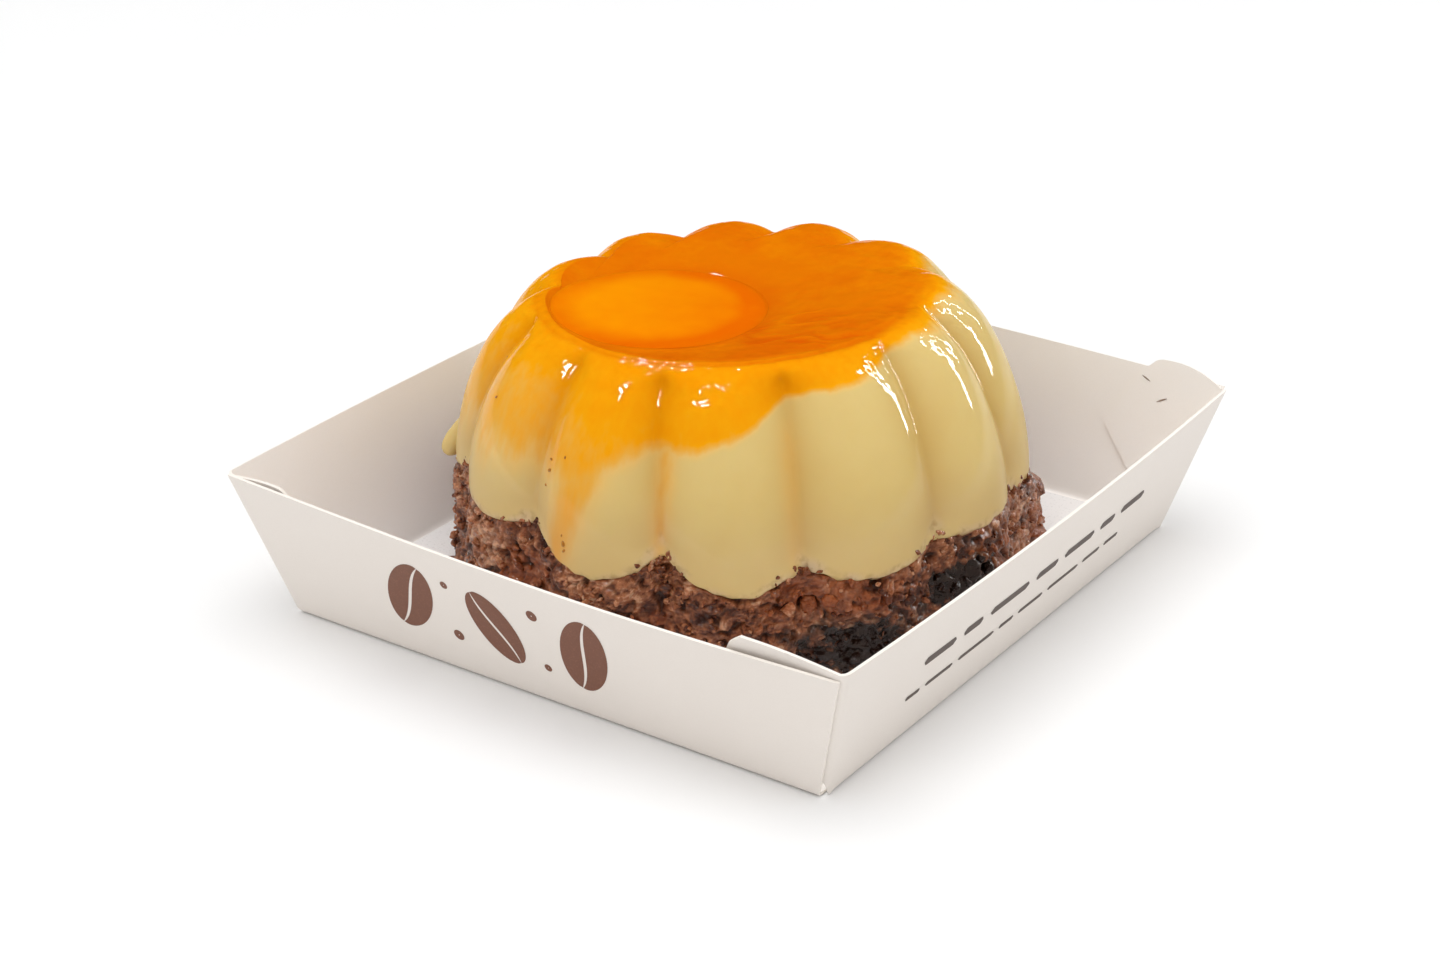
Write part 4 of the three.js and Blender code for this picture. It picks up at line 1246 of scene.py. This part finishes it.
CAKE_COLUMNS = 1080
CAKE_ROWS = 70
CRUMB_SEED = 7
LUMP_SIZE = 3.4                       # the solids' own crags
LUMP_RELIEF = 0.68
SMALL_GRAIN = 0.45                    # the smaller crumbs' size over the larger ones'
CRUMB_WARP = ((2.6, 1.1, 70), (1.0, 0.45, 90))   # spacing, reach and first seed of what bends them
RELIEF_LIMITS = (-1.7, 1.0)
CRAG_LUMPS = 36                       # larger lumps that stand on the crag
PALE_TONE = 0.3                       # how much paler the crumb is in PALE_PATCHES


def patch_amount(patches, angle, z):
    """1 in the middle of any of the patches and 0 away from them."""
    total = np.zeros(np.broadcast(angle, z).shape)
    for degrees, half_angle, height, half_height in patches:
        wide = turn_gap(angle, math.radians(degrees)) / math.radians(half_angle)
        tall = (z - height) / half_height
        total = np.maximum(total, np.exp(-(wide ** 2 + tall ** 2) * 0.9))
    return total


def cake_side(angle, share):
    """The cake's side before its crumbs; share runs from 0 at the card to 1 under the custard.
    Gives the radius about the flan's centre and the height."""
    flute, rib = rib_at(angle)
    z = lerp(CAKE_Z, foot_height(angle, flute, rib) - LIP_DROP - 0.1, share)
    mould = CAKE_TOP_RADIUS + CAKE_FLARE * (FOOT_Z - z) - CAKE_FLUTE_DEPTH * sunk_at(rib)
    crag_angle, crag_z, crag_width, crag_height = CRAG
    away = np.hypot(turn_gap(angle, crag_angle) * mould, z - crag_z) / crag_width
    tuck = LIP_TUCK / 2 * np.clip(1 - (1 - share) / TUCK_BAND, 0, 1)
    return mould + crag_height * np.exp(-away ** 2) - tuck, z


def from_centre(angle, radius, z):
    x, y = FLAN_CENTRE
    return np.stack([x + radius * np.cos(angle), y + radius * np.sin(angle), z], -1)


def make_cake(settings):
    size = settings.crumb_size / MM
    depth = settings.crumb_depth / MM
    angle = np.linspace(0, 2 * math.pi, CAKE_COLUMNS, endpoint=False)[None]
    share = np.linspace(0, 1, CAKE_ROWS)[:, None]
    radius, z = cake_side(angle * np.ones_like(share), share * np.ones_like(angle))
    plain = from_centre(angle, radius, z)
    warped = plain + np.stack([
        sum(reach * bumps(plain, spacing, seed + k) for spacing, reach, seed in CRUMB_WARP)
        for k in range(3)], -1)
    near, seam, tone = grains(warped, size, CRUMB_SEED)
    small_near, small_seam, small_tone = grains(warped, size * SMALL_GRAIN, CRUMB_SEED + 10)
    lumps = LUMP_RELIEF * layered_bumps(plain, LUMP_SIZE, 75, 2)
    shreds = 1 - np.abs(bumps(warped, (1.3, 1.3, 0.9), 85))
    pits = smooth(bumps(warped, 1.6, 86), 0.2, 0.65)
    torn = depth * (0.9 * (shreds - 0.7) + 0.4 * (0.5 - near) + 0.4 * (0.5 - small_near) - pits)
    relief = np.clip(lumps + torn + 0.3 * smooth(share, 0.7, 1.0), *RELIEF_LIMITS)
    rings = from_centre(angle, radius + relief, z + 0.3 * small_tone * (1 - share))

    rim = rings[-1]
    centre = np.array([*FLAN_CENTRE, FOOT_Z - LIP_DROP - 0.3])
    bed = []
    for inward in (0.97, 0.85, 0.6):
        ring = lerp(centre, rim, inward)
        ring[:, 2] = lerp(centre[2], rim[:, 2] - 0.25, smooth(inward, BED_FLAT, 1))
        bed.append(ring)
    low = np.array([*FLAN_CENTRE, CAKE_Z])
    under = [lerp(low, rings[0] * (1, 1, 0) + (0, 0, CAKE_Z), inward) for inward in (0.6, 0.97)]
    rows = np.concatenate([under, rings, bed])
    points, faces = skin(rows, low, centre)
    cake = add_piece(
        "chocolate_cake", points, faces, crumb_finish("cake", settings, 0.7), ["cake"])

    def whole(side, elsewhere=0.0):
        """The side's values, with one value for the underside and the bed."""
        under_end, bed_end = (np.full(1 + len(part) * CAKE_COLUMNS, elsewhere) for part in (under, bed))
        return np.concatenate([under_end, (side * np.ones_like(radius)).ravel(), bed_end])

    # Each crumb's own tone, plus painted highlight: paler along the raised shreds.
    tone = 0.12 + 0.3 * tone + 0.3 * small_tone + 0.5 * (shreds - 0.7)
    # Painted shade in the pits and in the seams between crumbs.
    hollow = 0.7 * pits + smooth(seam, 0.22, 0.02) * 0.3 + smooth(small_seam, 0.2, 0.02) * 0.2
    add_values(
        cake, tone=whole(tone + PALE_TONE * patch_amount(PALE_PATCHES, angle, z), 0.3),
        hollow=whole(hollow), wet=whole(patch_amount(WET_PATCHES, angle, z)),
        rust=whole(patch_amount(RUST_PATCHES, angle, z)))


def unit_crumb():
    """A rough ball of 80 faces."""
    ball = bmesh.new()
    bmesh.ops.create_icosphere(ball, subdivisions=2, radius=1.0)
    ball.verts.index_update()
    points = np.array([vertex.co for vertex in ball.verts])
    faces = [[vertex.index for vertex in face.verts] for face in ball.faces]
    ball.free()
    return points, faces


def random_turns(draw, count):
    """Random rotations as 3 by 3 matrices."""
    q = draw.normal(size=(count, 4))
    w, x, y, z = (q / np.linalg.norm(q, axis=1, keepdims=True)).T
    return np.stack([
        np.stack([1 - 2 * (y * y + z * z), 2 * (x * y - z * w), 2 * (x * z + y * w)], -1),
        np.stack([2 * (x * y + z * w), 1 - 2 * (x * x + z * z), 2 * (y * z - x * w)], -1),
        np.stack([2 * (x * z - y * w), 2 * (y * z + x * w), 1 - 2 * (x * x + y * y)], -1)], -2)


CREEPING = 0.1                        # share of the crumbs in the custard's grooves
FALLEN = 0.035                        # and on the insert card
CRAG_SPREAD = math.radians(11)
GROOVE_SPREAD = 0.055                 # in radians
CARD_REACH = 52.0                     # fallen crumbs lie at most this far from the flan's centre


def crumb_places(draw, count):
    """Places for crumbs: most on the cake's side, some creeping up the custard's grooves, and a few
    fallen on the insert card. Gives the middles and the crumbs' radii."""
    creeping = int(count * CREEPING)
    fallen = int(count * FALLEN)
    clinging = count - creeping - fallen
    angle = draw.uniform(0, 2 * math.pi, clinging)
    share = draw.uniform(0.06, 1.02, clinging)
    radius, z = cake_side(angle, share)
    size = 0.3 + 0.7 * draw.random(clinging) ** 2.5
    sunk = draw.uniform(0.05, 0.8, clinging)
    side = from_centre(angle, radius + 0.25 - sunk * size, z)

    lump_angle = draw.normal(CRAG[0], CRAG_SPREAD, CRAG_LUMPS)
    lump_radius, lump_z = cake_side(lump_angle, draw.uniform(0.1, 0.8, CRAG_LUMPS))
    lump_size = draw.uniform(0.9, 1.7, CRAG_LUMPS)
    lump = from_centre(lump_angle, lump_radius + 0.2 - 0.5 * lump_size, lump_z)

    groove = grooves(0.0)[draw.integers(0, FLUTES, creeping)]
    creep_angle = groove + draw.normal(0, GROOVE_SPREAD, creeping)
    flute, rib = rib_at(creep_angle)
    creep_z = foot_height(creep_angle, flute, rib) + draw.uniform(-1.6, 0.7, creeping)
    creep_radius = FOOT_RADIUS - FLUTE_DEPTH[0] * sunk_at(rib) - 0.03 * (creep_z - FOOT_Z) ** 2
    creep_size = 0.3 + 0.5 * draw.random(creeping) ** 2
    creep = from_centre(creep_angle, creep_radius - 0.2, creep_z)

    fallen_angle = draw.uniform(0, 2 * math.pi, fallen)
    fallen_size = 0.25 + 0.5 * draw.random(fallen) ** 2
    foot, _ = cake_side(fallen_angle, np.zeros(fallen))
    spread = 1.0 + 1.6 * draw.random(fallen)
    floor = from_centre(
        fallen_angle, np.minimum(foot + spread, CARD_REACH), INSERT_HIGH[2] + 0.6 * fallen_size)
    inside = np.all(np.abs(floor[:, :2]) < INSERT_HIGH[:2] - 1.0, axis=1)
    middles = np.concatenate([side, lump, creep, floor[inside]])
    return middles, np.concatenate([size, lump_size, creep_size, fallen_size[inside]])


def make_crumbs(settings):
    """Loose crumbs as one mesh: each is a rough ball, stretched, turned and roughened on its own."""
    draw = np.random.default_rng(CRUMB_SEED)
    middles, radii = crumb_places(draw, settings.loose_crumbs)
    count = len(middles)
    ball, ball_faces = unit_crumb()
    stretch = draw.uniform(0.4, 1.5, (count, 1, 3))
    offsets = draw.uniform(0, 50, (count, 1, 3))
    rough = 1 + 0.5 * bumps(ball[None] + offsets, 0.8, 81) + 0.3 * bumps(ball[None] + offsets, 0.4, 82)
    turned = np.einsum("nij,nvj->nvi", random_turns(draw, count), ball[None] * stretch * rough[..., None])
    points = middles[:, None] + turned * radii[:, None, None]
    points[..., 2] = np.maximum(points[..., 2], INSERT_HIGH[2] + 0.02)
    numbers = np.array(ball_faces)[None] + (np.arange(count) * len(ball))[:, None, None]
    crumbs = add_piece(
        "cake_crumbs", points.reshape(-1, 3), numbers.reshape(-1, 3).tolist(),
        crumb_finish("crumbs", settings, 0.45))
    offset = middles[:, :2] - FLAN_CENTRE
    angle = np.arctan2(offset[:, 1], offset[:, 0])
    z = middles[:, 2]
    values = {
        "hollow": np.zeros(count),
        "tone": 0.1 + 0.7 * draw.random(count) ** 1.6 + PALE_TONE * patch_amount(PALE_PATCHES, angle, z),
        "wet": patch_amount(WET_PATCHES, angle, z),
        "rust": patch_amount(RUST_PATCHES, angle, z),
    }
    add_values(crumbs, **{name: np.repeat(value, len(ball)) for name, value in values.items()})


# Syrup that has run out of the cake on to the insert card: angle, half width in degrees, reach
PUDDLES = ((-47, 17, 3.2), (-20, 8, 1.4), (-95, 7, 0.9), (70, 10, 1.2))
PUDDLE_UNDER = 1.0                    # how far a puddle reaches under the cake's crumbs
PUDDLE_HEIGHT = 0.35


def make_syrup():
    """Thin dark puddles round the cake's foot."""
    parts = []
    for number, (degrees, half, reach) in enumerate(PUDDLES):
        along = np.linspace(-1, 1, 49)
        angle = math.radians(degrees) + along * math.radians(half)
        ragged = bumps(np.stack([along * 5, along * 0, along * 0 + number], -1), 1.0, 91)
        width = reach * np.sqrt(1 - along ** 2 * 0.995) * (1 + 0.3 * ragged)
        foot, _ = cake_side(angle, np.zeros_like(angle))
        out = np.linspace(0, 1, 9)[:, None]
        radius = foot - PUDDLE_UNDER + (PUDDLE_UNDER + width) * out
        rise = PUDDLE_HEIGHT * np.sqrt(np.clip(1 - out ** 4, 0.01, 1))
        rise = rise * (0.4 + 0.6 * np.sqrt(1 - along ** 2 * 0.99))
        top = from_centre(angle * np.ones_like(out), radius, INSERT_HIGH[2] + 0.03 + rise)
        bottom = top * (1, 1, 0) + (0, 0, INSERT_HIGH[2] + 0.01)
        rows, columns = top.shape[:2]
        near = np.arange(rows * columns).reshape(rows, columns)
        far = near + rows * columns
        faces = grid_faces(near[:, ::-1]) + grid_faces(far)
        for line in (np.s_[0, ::-1], np.s_[:, 0], np.s_[-1], np.s_[::-1, -1]):
            faces += grid_faces(np.stack([near[line], far[line]]))
        parts.append((np.vstack([top.reshape(-1, 3), bottom.reshape(-1, 3)]), faces, np.zeros(len(faces))))
    points, faces, _ = join(parts)
    finish = Finish(
        "syrup", Specular_IOR_Level=0.6, Coat_Weight=1.0, Coat_Roughness=0.02, Transmission_Weight=0.25)
    cloud = finish.noise(2.5)
    finish.colour(finish.blend(cloud, srgb(46, 20, 8), srgb(110, 62, 20)))
    finish.roughness(finish.range(cloud, 0.2, 0.8, 0.08, 0.2))
    add_piece("syrup_puddles", points, faces, finish.material)


# ---- Stage ---------------------------------------------------------------------------------------

CAMERA_SPOT = (0.23069, -0.34121, 0.20888)
FLOOR_HALF = 6.0
# Lights: place in metres as right, towards the camera and up; width and height; radiance as a
# share of the key's. Soft lights shade the scene, and sparkles only show in gloss.
SOFT_LIGHTS = {
    "key": ((-0.1, 0.0, 1.6), (1.8, 1.8), 1.05),
    "right_fill": ((1.3, 0.3, 0.8), (1.0, 0.8), 0.7),
    "front_fill": ((-0.9, 1.1, 0.8), (0.8, 0.8), 0.9),
}
SPARKLES = {
    "left_sparkle": ((-0.36, 0.25, 0.72), (0.05, 0.13), 55.0),
    "top_sparkle": ((-0.12, 0.1, 0.85), (0.09, 0.04), 50.0),
    "rear_sparkle": ((-0.2, -0.46, 0.72), (0.06, 0.07), 75.0),
    "right_strip": ((0.61, -0.22, 0.37), (0.055, 0.56), 24.0),
    "far_strip": ((0.48, -0.42, 0.37), (0.035, 0.5), 20.0),
}


def add_light(name, spot, sizes, radiance, sparkle, target):
    lamp = bpy.data.lights.new(name, "AREA")
    lamp.shape = "RECTANGLE"
    lamp.size, lamp.size_y = sizes
    lamp.energy = radiance * math.pi * sizes[0] * sizes[1]
    light = bpy.data.objects.new(name, lamp)
    light.location = spot
    light.rotation_mode = "QUATERNION"
    light.rotation_quaternion = (Vector(spot) - target).to_track_quat("Z", "Y")
    light.visible_glossy = sparkle
    light.visible_diffuse = not sparkle
    bpy.context.scene.collection.objects.link(light)


def make_stage(settings):
    """A pale floor, soft studio light and the camera."""
    azimuth, elevation = settings.azimuth, settings.elevation
    right = Vector((math.cos(azimuth), math.sin(azimuth), 0))
    near = Vector((math.sin(azimuth), -math.cos(azimuth), 0))
    back = near * math.cos(elevation) + Vector((0, 0, math.sin(elevation)))
    scene = bpy.context.scene

    camera = bpy.data.objects.new("camera", bpy.data.cameras.new("camera"))
    camera.data.lens = settings.lens
    camera.data.sensor_width = 36.0
    camera.data.clip_start = 0.01
    turn = Matrix((right, back.cross(right), back)).transposed().to_4x4()
    camera.matrix_world = Matrix.Translation(CAMERA_SPOT) @ turn
    scene.collection.objects.link(camera)
    scene.camera = camera

    mesh = bpy.data.meshes.new("floor")
    corners = [(x * FLOOR_HALF, y * FLOOR_HALF, -0.0002) for x, y in ((-1, -1), (1, -1), (1, 1), (-1, 1))]
    mesh.from_pydata(corners, [], [(0, 1, 2, 3)])
    finish = Finish("studio_floor", Specular_IOR_Level=0.2)
    paper = finish.noise(40.0)
    cloud = finish.range(paper, 0.3, 0.7, 0.0, 0.02)
    finish.colour(finish.blend(cloud, tuple(settings.floor), srgb(232, 230, 228)))
    finish.roughness(finish.range(paper, 0.3, 0.7, 0.85, 0.95))
    mesh.materials.append(finish.material)
    floor = bpy.data.objects.new("floor", mesh)
    scene.collection.objects.link(floor)

    world = bpy.data.worlds.new("studio")
    world.use_nodes = True
    background = world.node_tree.nodes["Background"]
    background.inputs["Color"].default_value = (1.0, 1.0, 1.0, 1.0)
    background.inputs["Strength"].default_value = settings.sky
    world.cycles_visibility.glossy = False
    scene.world = world
    scene.view_settings.view_transform = "Standard"
    target = Vector((0, 0, 0.03))
    for lights, sparkle in ((SOFT_LIGHTS, False), (SPARKLES, True)):
        for name, ((rightward, forward, height), sizes, share) in lights.items():
            spot = right * rightward + near * forward + Vector((0, 0, height))
            add_light(name, spot, sizes, settings.key * share, sparkle, target)


# ---- Operators and panel -------------------------------------------------------------------------


class FlanOperator:
    """The options that the flan's operators share."""

    bl_options = {"REGISTER", "UNDO"}


class FLAN_OT_stage(FlanOperator, bpy.types.Operator):
    """Add the floor, the lights and the camera"""

    bl_idname = "flan.stage"
    bl_label = "Stage"

    def execute(self, context):
        make_stage(context.scene.flan_stage)
        return {"FINISHED"}


class FLAN_OT_tray(FlanOperator, bpy.types.Operator):
    """Add the folded card tray with its corner flaps"""

    bl_idname = "flan.tray"
    bl_label = "Card tray"

    def execute(self, context):
        make_tray(context.scene.flan_tray)
        return {"FINISHED"}


class FLAN_OT_print(FlanOperator, bpy.types.Operator):
    """Add the beans and dashes printed on the card"""

    bl_idname = "flan.card_print"
    bl_label = "Print"

    def execute(self, context):
        make_print(context.scene.flan_tray)
        return {"FINISHED"}


class FLAN_OT_insert(FlanOperator, bpy.types.Operator):
    """Add the glossy card that the flan stands on"""

    bl_idname = "flan.insert"
    bl_label = "Insert card"

    def execute(self, context):
        make_insert(context.scene.flan_tray)
        return {"FINISHED"}


class FLAN_OT_cake(FlanOperator, bpy.types.Operator):
    """Add the chocolate cake base"""

    bl_idname = "flan.cake"
    bl_label = "Cake"

    def execute(self, context):
        make_cake(context.scene.flan_cake)
        return {"FINISHED"}


class FLAN_OT_crumbs(FlanOperator, bpy.types.Operator):
    """Add the crumbs that cling to the cake or have fallen from it"""

    bl_idname = "flan.crumbs"
    bl_label = "Crumbs"

    def execute(self, context):
        make_crumbs(context.scene.flan_cake)
        return {"FINISHED"}


class FLAN_OT_syrup(FlanOperator, bpy.types.Operator):
    """Add the syrup at the cake's foot"""

    bl_idname = "flan.syrup"
    bl_label = "Syrup"

    def execute(self, context):
        make_syrup()
        return {"FINISHED"}


class FLAN_OT_custard(FlanOperator, bpy.types.Operator):
    """Add the fluted custard and its drip"""

    bl_idname = "flan.custard"
    bl_label = "Custard"

    def execute(self, context):
        make_custard(context.scene.flan_custard)
        make_drip(context.scene.flan_custard)
        return {"FINISHED"}


class FLAN_OT_caramel(FlanOperator, bpy.types.Operator):
    """Add the caramel pool and the specks in the glaze"""

    bl_idname = "flan.caramel"
    bl_label = "Caramel"

    def execute(self, context):
        make_caramel(context.scene.flan_custard)
        make_specks()
        return {"FINISHED"}


OPERATORS = (
    FLAN_OT_stage, FLAN_OT_tray, FLAN_OT_print, FLAN_OT_insert, FLAN_OT_cake, FLAN_OT_crumbs,
    FLAN_OT_syrup, FLAN_OT_custard, FLAN_OT_caramel)


class FLAN_PT_sidebar(bpy.types.Panel):
    """The flan's pieces and their settings"""

    bl_idname = "FLAN_PT_sidebar"
    bl_label = "Flan"
    bl_space_type = "VIEW_3D"
    bl_region_type = "UI"
    bl_category = "Flan"

    def draw(self, context):
        for operator in OPERATORS:
            self.layout.operator(operator.bl_idname)
        for name, group in SETTINGS.items():
            box = self.layout.box()
            settings = getattr(context.scene, name)
            for key in group.__annotations__:
                box.prop(settings, key)


def register():
    for name, group in SETTINGS.items():
        bpy.utils.register_class(group)
        setattr(bpy.types.Scene, name, PointerProperty(type=group))
    for each in (*OPERATORS, FLAN_PT_sidebar):
        bpy.utils.register_class(each)


def unregister():
    for each in (FLAN_PT_sidebar, *reversed(OPERATORS)):
        bpy.utils.unregister_class(each)
    for name, group in SETTINGS.items():
        delattr(bpy.types.Scene, name)
        bpy.utils.unregister_class(group)


def main():
    register()
    bpy.ops.flan.stage()
    bpy.ops.flan.tray()
    bpy.ops.flan.card_print()
    bpy.ops.flan.insert()
    bpy.ops.flan.cake()
    bpy.ops.flan.crumbs()
    bpy.ops.flan.syrup()
    bpy.ops.flan.custard()
    bpy.ops.flan.caramel()


if __name__ == "__main__":
    main()
